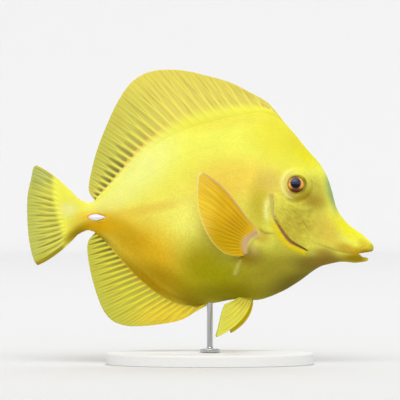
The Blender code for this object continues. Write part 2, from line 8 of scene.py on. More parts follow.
# %% Load the frame
import json
import math

import bmesh
import bpy
import numpy as np
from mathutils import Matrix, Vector, noise

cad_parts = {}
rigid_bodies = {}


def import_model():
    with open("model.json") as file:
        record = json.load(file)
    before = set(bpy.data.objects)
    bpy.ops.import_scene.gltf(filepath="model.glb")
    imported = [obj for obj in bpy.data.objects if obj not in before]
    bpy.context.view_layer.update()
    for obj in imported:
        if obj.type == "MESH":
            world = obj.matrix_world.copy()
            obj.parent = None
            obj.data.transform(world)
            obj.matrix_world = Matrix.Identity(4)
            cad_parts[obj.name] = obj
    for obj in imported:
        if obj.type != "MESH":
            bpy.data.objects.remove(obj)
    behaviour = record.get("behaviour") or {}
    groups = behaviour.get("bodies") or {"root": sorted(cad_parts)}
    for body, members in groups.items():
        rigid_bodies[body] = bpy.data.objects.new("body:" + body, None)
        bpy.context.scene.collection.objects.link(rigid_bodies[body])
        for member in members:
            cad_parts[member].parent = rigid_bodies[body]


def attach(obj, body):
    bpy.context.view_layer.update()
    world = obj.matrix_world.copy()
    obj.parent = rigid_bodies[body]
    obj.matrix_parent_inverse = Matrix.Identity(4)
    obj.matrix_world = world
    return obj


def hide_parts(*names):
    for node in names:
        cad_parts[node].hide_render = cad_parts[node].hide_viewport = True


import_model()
for thing in list(bpy.context.scene.objects):  # what a new Blender file starts with goes
    if thing.name in ("Cube", "Light", "Camera"):
        bpy.data.objects.remove(thing)
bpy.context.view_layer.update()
MM = 0.001
SIDES = (("left", 1), ("right", -1))

# %% [markdown]
# ## Small tools
#
# A fish is all soft curves, so most of this script asks for a smooth curve through a few rows
# of numbers, or for a soft step between two values. Numpy does that for whole surfaces at once.

# %% Curves and soft steps
def on_curve(rows, places):
    """The rows of numbers at places along a list of rows, on a smooth curve through them."""
    rows = np.asarray(rows, float)
    places = np.clip(np.asarray(places, float), 0, len(rows) - 1)
    first = np.minimum(places.astype(int), len(rows) - 2)
    share = (places - first)[..., None]
    a, b, c, d = (rows[np.clip(first + k, 0, len(rows) - 1)] for k in (-1, 0, 1, 2))
    bend = (2 * a - 5 * b + 4 * c - d) * share**2 + (3 * b - a - 3 * c + d) * share**3
    return b + 0.5 * ((c - a) * share + bend)


def joined(*parts):
    """Numbers and arrays side by side, such as x, y and z joined to points."""
    return np.stack(np.broadcast_arrays(*parts), axis=-1)


def in_space(seen, y):
    """Points in space, from points seen from the side and their y."""
    return joined(seen[..., 0], y, seen[..., 1])


def summed(steps):
    """Running totals of some steps, from 0."""
    return np.concatenate([[0], np.cumsum(steps)])


def travelled(line):
    """How far each point lies along a line of points, from 0 at the first."""
    return summed(np.linalg.norm(np.diff(line, axis=0), axis=1))


def evenly(rows, steps_each=16):
    """A function from 0..1 to the point at that share of the length of a smooth curve."""
    line = on_curve(rows, np.linspace(0, len(rows) - 1, (len(rows) - 1) * steps_each + 1))
    lengths = travelled(line)

    def at(share):
        goal = np.clip(share, 0, 1) * lengths[-1]
        return joined(*(np.interp(goal, lengths, axis) for axis in line.T))

    return at


def soft_step(low, high, value):
    share = np.clip((value - low) / (high - low), 0, 1)
    return share * share * (3 - 2 * share)


def swell(value, centre, width):
    """1 at the centre, and softly 0 at about two widths from it."""
    return np.exp(-(((value - centre) / width) ** 2))


def unit(vectors):
    return vectors / np.maximum(np.linalg.norm(vectors, axis=-1, keepdims=True), 1e-12)


# %% [markdown]
# ## The body's form
#
# The body is drawn as upright stations, like the frames of a boat. Each station has a back
# point, a belly point, the height of its widest point and a half width. Rows for the sleeve of
# skin over the tail fin's root come before them. Rows for the lips and the inside of the mouth
# come after them, where the back line turns in under the upper lip and the belly line turns in
# over the lower lip. One sheet then makes the fish's whole skin, mouth included.

# %% Stations of the body
# back x, back z, belly x, belly z, height of the widest point as a share, half width
TAIL_SLEEVE = [
    (-71.4, 87.4, -67.2, 61.6, 0.50, 0.05),
    (-69.3, 87.3, -66.2, 62.0, 0.50, 0.45),
    (-67.0, 86.6, -65.0, 62.6, 0.50, 1.2),
    (-64.4, 85.3, -63.5, 63.4, 0.50, 2.2),
    (-62.6, 84.1, -62.2, 64.2, 0.50, 2.85),
]
BODY = [
    (-60.9, 83.1, -60.9, 65.0, 0.50, 3.3),
    (-55.9, 81.0, -55.9, 67.0, 0.50, 3.5),
    (-50.9, 83.2, -50.9, 64.8, 0.49, 4.2),
    (-44.9, 88.8, -45.9, 60.2, 0.48, 5.5),
    (-37.9, 96.2, -38.9, 52.5, 0.46, 7.2),
    (-29.9, 104.5, -30.9, 44.2, 0.45, 9.0),
    (-19.9, 112.0, -20.9, 36.1, 0.44, 10.7),
    (-7.9, 118.0, -8.9, 30.3, 0.44, 12.0),
    (6.1, 122.2, 4.1, 30.2, 0.44, 12.8),
    (20.1, 125.4, 17.1, 32.4, 0.44, 13.1),
    (31.1, 126.7, 29.1, 32.2, 0.44, 12.7),
    (39.1, 123.8, 40.1, 36.0, 0.45, 11.7),
    (46.1, 116.8, 49.1, 41.2, 0.46, 10.4),
    (53.1, 108.2, 55.6, 46.0, 0.47, 9.2),
    (59.1, 101.5, 60.1, 48.8, 0.46, 8.0),
    (63.4, 94.5, 64.1, 50.0, 0.44, 7.0),
    (65.9, 87.0, 67.1, 50.7, 0.44, 6.2),
    (68.1, 79.0, 70.1, 51.2, 0.44, 5.4),
    (71.1, 73.7, 73.6, 51.1, 0.45, 4.8),
    (75.6, 69.0, 77.1, 50.7, 0.45, 4.3),
]
# back x, back z, belly x, belly z, side x, side z, half width
MOUTH = [
    (80.6, 65.7, 80.4, 50.95, 77.7, 57.3, 4.0),
    (84.2, 62.5, 82.4, 51.25, 78.5, 56.4, 3.7),
    (85.9, 60.5, 83.6, 51.85, 78.8, 55.9, 3.45),
    (86.75, 58.6, 84.1, 52.6, 78.8, 55.6, 3.2),
    (86.6, 57.1, 84.0, 53.2, 78.8, 55.4, 2.9),
    (85.7, 56.35, 83.3, 53.6, 78.8, 55.35, 2.5),
    (83.6, 56.3, 82.1, 53.8, 78.7, 55.3, 2.1),
    (81.9, 56.3, 81.2, 54.0, 78.6, 55.3, 1.8),
    (80.8, 56.05, 80.6, 54.5, 78.4, 55.35, 1.5),
    (79.3, 55.7, 79.3, 55.3, 78.0, 55.4, 0.8),
]
SECTION_SHARPNESS = 1.25  # 1 is an ellipse, and more narrows the back and belly to keels
LIP_DIP = (-0.3, -0.45)  # mm in x and z that the lower lip's rim dips
LIP_DIP_FROM = (25.2, 28.0)  # the stations between which the dip grows
SKIN_DEPTH = 0.15  # mm that the skin lies under the solids, which is the depth of the scales


def with_side(row):
    back_x, back_z, belly_x, belly_z, widest, half = row
    side_x = belly_x + (back_x - belly_x) * widest
    side_z = belly_z + (back_z - belly_z) * widest
    return (back_x, back_z, belly_x, belly_z, side_x, side_z, half)


OUTLINE = np.array([with_side(row) for row in TAIL_SLEEVE + BODY] + MOUTH)
BODY_START = len(TAIL_SLEEVE)


def body_points(along, around):
    """Points of the bare body in mm, at places along the stations and angles around them."""
    row = on_curve(OUTLINE, along)
    rise, reach = np.sin(around)[..., None], np.cos(around)
    side = row[..., 4:6]
    edge = np.where(rise > 0, row[..., 0:2], row[..., 2:4])
    seen = side + (edge - side) * np.abs(rise)
    under = np.where(rise < 0, -rise, 0)
    dip = 4 * under * (1 - under) * soft_step(*LIP_DIP_FROM, along)[..., None]
    seen = seen + dip * np.array(LIP_DIP)
    return in_space(seen, row[..., 6] * np.sign(reach) * np.abs(reach) ** SECTION_SHARPNESS)


def flank(x, z):
    """Half width of the body in mm at points seen from the side."""
    x, z = np.broadcast_arrays(np.asarray(x, float), np.asarray(z, float))
    low, high = np.zeros(x.shape), np.full(x.shape, len(BODY) - 1.0)
    for _ in range(30):
        middle = (low + high) / 2
        row = on_curve(BODY, middle)
        share = np.clip((z - row[..., 3]) / (row[..., 1] - row[..., 3]), 0, 1)
        ahead = row[..., 2] + (row[..., 0] - row[..., 2]) * share < x
        low, high = np.where(ahead, middle, low), np.where(ahead, high, middle)
    widest = row[..., 4]
    reach = np.where(share > widest, (share - widest) / (1 - widest), (widest - share) / widest)
    return row[..., 5] * np.clip(1 - reach**2, 0, 1) ** (SECTION_SHARPNESS / 2)


print("body stations:", len(OUTLINE), "half width at the shoulder:", flank(20, 72).round(1), "mm")

# %% [markdown]
# ## The skin's grid
#
# The sheet has a row of points every 1.2 mm on the flank and every 0.4 mm on the head, where
# the folds are. Round the body the points are even in length, not in angle, or they would crowd
# on the keels. The colours need to know where the folds are, so each fold also leaves a mark,
# a number from 0 to 1 on every point.

# %% Lay out the grid
# place along the stations, and the mm between rows there
ROW_SPACING = [(0, 0.85), (BODY_START, 1.1), (14, 1.2), (15.5, 0.44), (24, 0.38), (35, 0.36)]
COLUMNS_IN_A_QUARTER = 88
REFERENCE_HALF_WIDTH, REFERENCE_HALF_HEIGHT = 13, 44


def mean_steps(rows):
    """Length in mm from each row to the next, the mean of the back, the belly and the side."""
    return sum(np.linalg.norm(np.diff(rows[:, k : k + 2], axis=0), axis=1) for k in (0, 2, 4)) / 3


def even_places():
    """Places along the stations, spaced as ROW_SPACING says."""
    fine = np.linspace(0, len(OUTLINE) - 1, 4000)
    wanted = np.interp(fine[:-1], *np.transpose(ROW_SPACING))
    count = summed(mean_steps(on_curve(OUTLINE, fine)) / wanted)
    return np.interp(np.linspace(0, count[-1], int(count[-1])), count, fine)


def even_angles():
    """Angles round a section, even in length, from the left side over the back and round."""
    fine = np.linspace(0, math.pi / 2, 800)
    y, z = REFERENCE_HALF_WIDTH * np.cos(fine), REFERENCE_HALF_HEIGHT * np.sin(fine)
    length = travelled(joined(y, z))
    quarter = np.interp(np.linspace(0, length[-1], COLUMNS_IN_A_QUARTER + 1), length, fine)[:-1]
    half = np.concatenate([quarter, math.pi - np.concatenate([[math.pi / 2], quarter[:0:-1]])])
    return np.concatenate([half, half + math.pi])


def grid_normals(points):
    """Unit normals of a grid of points that closes round itself."""
    slope_around = np.roll(points, -1, axis=1) - np.roll(points, 1, axis=1)
    return unit(np.cross(slope_around, np.gradient(points, axis=0)))


along, around = np.meshgrid(even_places(), even_angles(), indexing="ij")
bare = body_points(along, around)
outward = grid_normals(bare)
centre_line = (bare.min(axis=1) + bare.max(axis=1))[:, None] / 2
if np.sum(outward * (bare - centre_line)) < 0:
    outward = -outward
print("skin grid:", bare.shape[:2])

# %% [markdown]
# ## Folds of the head and flank
#
# Each fold is a curve seen from the side. We measure every point's distance from it and raise
# or sink the skin there. The gill cover is a lip that rises towards its edge, then drops into
# the slit. A pale ridge stands behind the slit. The eye lies in two rings of skin.

# %% Lines of the folds, in mm
GILL_SLIT = [(35.9, 86.0), (36.6, 80.5), (36.9, 74.3), (39.1, 70.3), (42.3, 65.7), (44.9, 62.6)]
GILL_SLIT += [(49.1, 59.9), (54.4, 56.7)]
GILL_RIDGE = [(34.0, 84.6), (33.0, 80.8), (32.3, 77.2), (32.8, 73.4), (34.2, 69.6)]
SHOULDER_RIDGE = [(20.3, 53.6), (18.6, 49.2), (16.8, 43.8)]
COLLAR_CREASE = [(27.6, 69.8), (30.4, 66.8), (33.4, 65.6), (38.4, 65.8)]
JAW_CREASE = [(53.4, 61.6), (61.2, 59.2), (69.4, 56.6), (75.4, 55.6), (79.4, 55.5)]
CHEEK_FOLD = [(41.0, 81.8), (44.5, 78.8), (49.6, 76.8), (55.0, 77.4), (60.4, 79.6)]
CHEEK_CREASE = [(49.1, 74.1), (52.0, 70.4), (54.3, 66.6)]
LIP_CREASE = [(79.0, 57.6), (80.8, 58.8), (83.4, 59.8)]
LATERAL_LINE = [(27, 109.3), (20, 109.8), (8, 108.9), (-8, 104.4), (-24, 95.6), (-38, 86.0)]
PECTORAL_BASE = [(29.6, 65.5), (25.6, 63.6), (23.4, 60.4), (22.6, 57.4), (23.1, 54.8)]
# line, how far off it, width and height in mm, fade at its ends, and a mark with its strength
# the marks named crease darken the creases as painted shade
FOLDS = [
    (GILL_RIDGE, -0.2, 1.25, 0.6, 0.3, "pale", 1.0),
    (GILL_RIDGE, 3.2, 1.6, -0.25, 0.3, None, 0),
    (PECTORAL_BASE, 0.5, 1.35, 0.8, 0.1, "mauve", 1.0),
    (PECTORAL_BASE, -1.9, 0.6, -0.25, 0.15, "crease", 0.4),
    (JAW_CREASE, -1.5, 1.0, 0.15, 0.1, None, 0),
    (JAW_CREASE, 0, 0.45, -0.22, 0.3, "crease", 0.55),
    (COLLAR_CREASE, 0, 0.45, -0.25, 0.3, "crease", 1.0),
    (CHEEK_CREASE, 0, 0.4, -0.2, 0.3, "crease", 0.6),
    (CHEEK_FOLD, -0.6, 0.9, 0.2, 0.3, None, 0),
    (CHEEK_FOLD, 1.0, 0.8, -0.1, 0.3, None, 0),
    (LIP_CREASE, 0, 0.4, -0.14, 0.3, "crease", 0.4),
    (LATERAL_LINE, 0, 0.35, -0.05, 0.3, "crease", 0.1),
]
# shares of the slit's length, and its width in mm and the strength of its edge's mark there
SLIT_WIDTHS = (0, 0.25, 0.4, 0.55, 0.75, 1), (2.4, 2.3, 1.2, 1.7, 1.9, 0.5)
SLIT_EDGE_TONES = (0, 0.2, 0.4, 0.6, 1), (0.4, 0.25, 0.2, 0.5, 1)
COVER_HEIGHT, SLIT_DEPTH, UPPER_SLIT_DEPTH = 0.6, 0.9, 0.35  # mm
PAD, PAD_SIZE, PAD_HEIGHT = (27.0, 57.6), 2.6, 0.5  # the pad of flesh under the pectoral fin
EYE, EYE_OPENING = (47.6, 90.0), 4.3
NOSTRILS = [(55.6, 91.6, 0.45), (57.4, 90.4, 0.3)]  # x, z and radius
TAIL_SPINE, TAIL_SPINE_RADII = (-51.6, 73.6), (4.3, 0.9, 1.6)
ANAL_STATIONS = (7.6, 1.9)  # the body's stations between which the anal fin's sheath runs
# radius, width and height in mm, and how much of it lies all round, behind and below the eye
EYE_RINGS = [
    (EYE_OPENING + 0.75, 0.5, 0.25, 1, 0, 0),
    (5.9, 0.4, -0.3, 0.4, 0.6, 0),
    (7.3, 0.6, 0.3, 0.5, 0.5, 0),
    (9.0, 0.8, -0.35, 0, 0, 1),
]
EYE_CONE = (4.6, 9.2), 0.95  # the radii between which the low cone round the eye falls, its height
SOCKET_DEPTH = 2.5
CHEEK, CHEEK_RADII = (47, 72), (13, 15)
WRINKLE_LEAN = (0.74, 0.67)  # the cheek's wrinkles run down and forward along this direction
MOUTH_FROM = (28.2, 29.6)  # the stations between which the skin turns into the mouth
print("folds along lines:", len(FOLDS), "and rings round the eye:", len(EYE_RINGS))

# %% Folds from lines and spots
def from_line(x, z, line, samples=90):
    """Distance from a line seen from the side, more than 0 below or behind it, and the share."""
    points = evenly(line)(np.linspace(0, 1, samples))
    lean = np.gradient(points, axis=0)
    lean /= np.linalg.norm(lean, axis=1)[:, None]
    flat = joined(x, z).reshape(-1, 1, 2)
    nearest = np.argmin(((flat - points) ** 2).sum(axis=-1), axis=1)
    offset = flat[:, 0] - points[nearest]
    turn = lean[nearest]
    over = offset[:, 1] * turn[:, 0] - offset[:, 0] * turn[:, 1]
    past = offset[:, 0] * turn[:, 0] + offset[:, 1] * turn[:, 1]
    distance = np.hypot(over, past) * np.where(over > 0, -1, 1)
    return distance.reshape(x.shape), (nearest / (samples - 1)).reshape(x.shape)


def ends(share, fade):
    """1 along a line, and softly 0 at its two ends."""
    return soft_step(0, fade, share) * soft_step(0, fade, 1 - share)


def grain_of(x, z, size, seed):
    """Smooth noise from -1 to 1, with bumps of about this size in mm."""
    shift = Vector((seed * 7.3, seed * 3.1, seed))
    spots = joined(x, z).reshape(-1, 2) / size
    found = [noise.noise(Vector((a, b, 0)) + shift) for a, b in spots.tolist()]
    return np.reshape(found, x.shape)


def from_tail_spine(x, z):
    """0 at the middle of the tail spine's oval, and 1 at its rim."""
    length, _, height = TAIL_SPINE_RADII
    return np.hypot((x - TAIL_SPINE[0]) / length, (z - TAIL_SPINE[1]) / height)


def gill_folds(x, z, marks):
    """The gill cover rises to its edge, and behind it lie the slit and a low ridge."""
    distance, share = from_line(x, z, GILL_SLIT)
    width = np.interp(share, *SLIT_WIDTHS)
    there = ends(share, 0.05)
    cover = soft_step(-6.0, -0.4, distance) * (distance < 0)
    slit = soft_step(-0.2, 0.25, distance) * (1 - soft_step(width * 0.6, width, distance))
    upper = 1 - soft_step(0.3, 0.5, share)
    depth = SLIT_DEPTH + (UPPER_SLIT_DEPTH - SLIT_DEPTH) * upper
    lip = swell(distance, 0.15, 0.3) * there
    marks["slit"] = there * slit * (1 - upper)
    marks["veil"] = there * slit * upper
    marks["slit_edge"] = lip * np.interp(share, *SLIT_EDGE_TONES)
    marks["bright"] = swell(distance, width + 1.0, 1.3) * there * soft_step(0.25, 0.5, share)
    return there * (COVER_HEIGHT * cover - depth * slit) + 0.3 * marks["bright"]


def pectoral_folds(x, z, marks):
    """The pad of flesh under the pectoral fin's root, and the ridge that runs down from there."""
    distance, _ = from_line(x, z, PECTORAL_BASE)
    from_pad = np.hypot(x - PAD[0], (z - PAD[1]) * 0.75)
    marks["pad"] = swell(from_pad, 0, PAD_SIZE) * (distance < -0.8)
    distance, share = from_line(x, z, SHOULDER_RIDGE)
    ridge = 0.4 * swell(distance, 0, 0.55 + 0.5 * share) * ends(share, 0.2)
    marks["pale"] = ridge
    return PAD_HEIGHT * marks["pad"] + ridge


def eye_folds(x, z, marks):
    """The eye stands on a low cone of skin, ringed by folds that are deeper below and in front."""
    ahead, above = x - EYE[0], z - EYE[1]
    from_eye = np.hypot(ahead, above)
    far = np.maximum(from_eye, 1e-6)
    below = soft_step(0.1, -0.9, above / far)
    behind = soft_step(0.1, -0.7, ahead / far)
    socket = 1 - soft_step(EYE_OPENING - 0.5, EYE_OPENING + 0.3, from_eye)
    foot, height = EYE_CONE
    raised = height * (1 - soft_step(*foot, from_eye)) - SOCKET_DEPTH * socket
    for radius, width, height, all_round, rear, low in EYE_RINGS:
        there = all_round + rear * behind + low * below
        raised += height * swell(from_eye, radius, width) * there
    front_low = soft_step(-0.5, 0.6, (ahead - above) / far)
    # painted shade: a dark ring in the eye's opening, strongest in front and below
    marks["eye_ring"] = swell(from_eye, EYE_OPENING + 0.35, 0.5) * (0.25 + 0.75 * front_low)
    marks["eye_tan"] = behind * swell(from_eye, 5.3, 0.6)
    marks["eye_glow"] = behind * swell(from_eye, 7.3, 0.6)
    marks["eye_shade"] = below * swell(from_eye, 6.9, 1.5) * soft_step(-8.5, -2.0, ahead)
    return raised, from_eye


def fold_marks(x, z):
    """How far each point is raised in mm, and the marks that the colours read."""
    marks = {}
    raised = gill_folds(x, z, marks) + pectoral_folds(x, z, marks)
    for line, off, width, height, fade, mark_name, strength in FOLDS:
        distance, share = from_line(x, z, line)
        fold = swell(distance, off, width) * ends(share, fade)
        raised += height * fold
        if mark_name:
            marks[mark_name] = np.maximum(marks.get(mark_name, 0), strength * fold)

    keel = on_curve(OUTLINE, BODY_START + np.linspace(*ANAL_STATIONS, 12))[:, 2:4]
    distance, share = from_line(x, z, keel)
    distance = np.abs(distance)
    there = ends(share, 0.08) * (1 - 0.75 * soft_step(0.3, 0.7, share))
    raised += (0.2 * swell(distance, 0.6, 0.6) - 0.2 * swell(distance, 2.0, 0.7)) * there
    # this mark darkens the groove along the anal fin's root as painted shade
    marks["sheath"] = swell(distance, 1.8, 1.1) * there

    eye, from_eye = eye_folds(x, z, marks)
    clear = soft_step(6.0, 9.0, from_eye)
    from_cheek = np.hypot((x - CHEEK[0]) / CHEEK_RADII[0], (z - CHEEK[1]) / CHEEK_RADII[1])
    cheek = swell(from_cheek, 0, 0.95) * soft_step(36.0, 37.0, x)
    forward, low = WRINKLE_LEAN
    down, aside = x * forward - z * low, x * low + z * forward
    wrinkled = 1.2 * grain_of(down / 3.5, aside, 0.8, 1) + 0.5 * grain_of(x, z, 0.8, 2)
    raised = raised * clear + eye + 0.16 * cheek * clear * wrinkled
    # this mark darkens the wrinkles' troughs as painted shade
    marks["wrinkle"] = np.clip(0.5 - 0.9 * wrinkled, 0, 1) * cheek * clear

    marks["pit"] = np.zeros(x.shape)
    for pit_x, pit_z, radius in NOSTRILS:
        from_pit = np.hypot(x - pit_x, z - pit_z)
        raised += 0.1 * swell(from_pit, radius + 0.35, 0.3) - 0.35 * swell(from_pit, 0, radius * 0.8)
        # the nostrils' mark darkens them as painted shade
        marks["pit"] = np.maximum(marks["pit"], swell(from_pit, 0, radius * 0.8))

    from_spine = from_tail_spine(x, z)
    raised += 0.25 * swell(from_spine, 1.35, 0.25) - 0.5 * (1 - soft_step(0.8, 1.1, from_spine))
    marks["groove"] = swell(from_spine, 1.12, 0.16)
    return raised, marks


# %% Raise the folds
raised, marks = fold_marks(bare[..., 0], bare[..., 2])
in_mouth = soft_step(*MOUTH_FROM, along)
raised *= 1 - in_mouth
raised += 0.16 * swell(along, 27.3, 0.8) - 0.06 * swell(along, 25.4, 0.6)  # the lips' rims
# this mark darkens the inside of the mouth as painted shade
marks["inside"] = in_mouth
skin_points = bare + outward * (raised - SKIN_DEPTH)[..., None]
print("folds raise the skin by", raised.min().round(2), "to", raised.max().round(2), "mm")

# %% Make the skin's mesh
def in_scene(name, data):
    """A new object in the scene."""
    made = bpy.data.objects.new(name, data)
    bpy.context.scene.collection.objects.link(made)
    return made


def put_numbers(mesh, name, values):
    """A number on every point of a mesh."""
    mesh.attributes.new(name, "FLOAT", "POINT").data.foreach_set("value", values)


def mesh_object(name, points_mm, faces, marks=None):
    """An object from points in mm, with a number for each mark on every point."""
    mesh = bpy.data.meshes.new(name)
    mesh.from_pydata((np.asarray(points_mm) * MM).tolist(), [], faces)
    for mark_name, values in (marks or {}).items():
        put_numbers(mesh, mark_name, values)
    mesh.shade_smooth()
    mesh.update()
    return in_scene(name, mesh)


def tube_faces(rows, columns):
    """Numbers of the points in a grid that closes round itself, and the faces between them."""
    index = np.arange(rows * columns).reshape(rows, columns)
    near, far = index[:-1], index[1:]
    quads = joined(near, np.roll(near, -1, 1), np.roll(far, -1, 1), far)
    return index, quads.reshape(-1, 4).tolist()


def closed_tube(grid):
    """Points and faces of a grid that closes round itself, with a point at each end."""
    index, faces = tube_faces(*grid.shape[:2])
    faces += [(index.size, b, a) for a, b in zip(index[0], np.roll(index[0], -1))]
    faces += [(index.size + 1, a, b) for a, b in zip(index[-1], np.roll(index[-1], -1))]
    return np.concatenate([grid.reshape(-1, 3), [grid[0].mean(0), grid[-1].mean(0)]]), faces


def outward_faces(made):
    """Turns a closed piece's faces to point out."""
    bm = bmesh.new()
    bm.from_mesh(made.data)
    bmesh.ops.recalc_face_normals(bm, faces=bm.faces)
    if bm.calc_volume(signed=True) < 0:
        bmesh.ops.reverse_faces(bm, faces=bm.faces)
    bm.to_mesh(made.data)
    bm.free()
    return made


flat_marks = {name: np.append(values, [0, 0]) for name, values in marks.items()}  # and the two ends
skin = outward_faces(mesh_object("skin", *closed_tube(skin_points), flat_marks))
print("skin:", len(skin.data.polygons), "faces")

# %% [markdown]
# ## Colours of the skin
#
# A tang is one bright lemon yellow, yet up close it has paler, golden and olive areas that fade
# into each other. Each area is a soft oval patch placed on the fish. Many of the darker patches,
# on the belly, breast, throat, chin, under the jaw and the pectoral fin and along the lower edges,
# are painted shade. One pale patch on the rear flank is a painted highlight, and one lightens the
# flank as painted light where the pectoral fin's shadow falls. One shader group lays them over
# the base yellow, and skin, scales and fins all use it, so their colours agree.

# %% Helpers for nodes
def add(tree, kind, inputs=None, **settings):
    """A node with its settings, and its inputs given as numbers or as other nodes' sockets."""
    made = tree.nodes.new(kind)
    for name, value in settings.items():
        setattr(made, name, value)
    for name, value in (inputs or {}).items():
        socket = made.inputs[name]
        if isinstance(value, bpy.types.NodeSocket):
            tree.links.new(value, socket)
        else:
            socket.default_value = value
    return made


def colour(tint):
    """A colour as shaders want it, from the three 0 to 255 numbers of a colour picker."""
    if not isinstance(tint, tuple):
        return tint  # another node's socket
    shares = np.array(tint) / 255
    linear = np.where(shares > 0.04045, ((shares + 0.055) / 1.055) ** 2.4, shares / 12.92)
    return (*linear.tolist(), 1)


def mix(tree, amount, first, second, blend="MIX"):
    """Two colours mixed, each a node's socket or the numbers of a colour picker."""
    inputs = {0: amount, 6: colour(first), 7: colour(second)}
    return add(tree, "ShaderNodeMix", inputs, data_type="RGBA", blend_type=blend).outputs[2]


def math_node(tree, operation, first, second=0.0, third=0.0, clamp=False):
    inputs = {0: first, 1: second, 2: third}
    return add(tree, "ShaderNodeMath", inputs, operation=operation, use_clamp=clamp).outputs[0]


def times(tree, first, second):
    return math_node(tree, "MULTIPLY", first, second)


def hypotenuse(tree, first, second):
    squares = math_node(tree, "MULTIPLY_ADD", first, first, times(tree, second, second))
    return math_node(tree, "SQRT", squares)


def own_place(tree):
    """The Object coordinates, which a piece at the origin shares with the whole fish."""
    return add(tree, "ShaderNodeTexCoord").outputs["Object"]


def grain(tree, place, scale, detail=2.0):
    """Soft noise from 0 to 1 with this many grains to the metre."""
    return add(tree, "ShaderNodeTexNoise", {"Vector": place, "Scale": scale, "Detail": detail}).outputs[0]


def faded(tree, value, low, high, top=1.0):
    """A soft step from 0 at low to top at high."""
    made = add(
        tree, "ShaderNodeMapRange",
        {"Value": value, "From Min": low, "From Max": high, "To Min": 0.0, "To Max": top},
        interpolation_type="SMOOTHSTEP",
    )
    return made.outputs[0]


def patched(tree, place, shade, oval, tint, amount):
    """A colour with a soft oval patch on it, seen from the side. Sizes in mm, tilt in degrees."""
    x, z, radius_x, radius_z, tilt = oval
    moved = add(
        tree, "ShaderNodeMapping",
        {
            "Vector": place,
            "Location": (x * MM, 0, z * MM),
            "Rotation": (0, -math.radians(tilt), 0),
            "Scale": (radius_x * MM, 1, radius_z * MM),
        },
        vector_type="TEXTURE",
    )
    length = add(tree, "ShaderNodeVectorMath", {0: moved.outputs[0]}, operation="LENGTH")
    inside = faded(tree, length.outputs["Value"], 1.0, 0.15)
    return mix(tree, times(tree, inside, amount), shade, tint)


# %% Patches of colour
LEMON = (246, 244, 92)
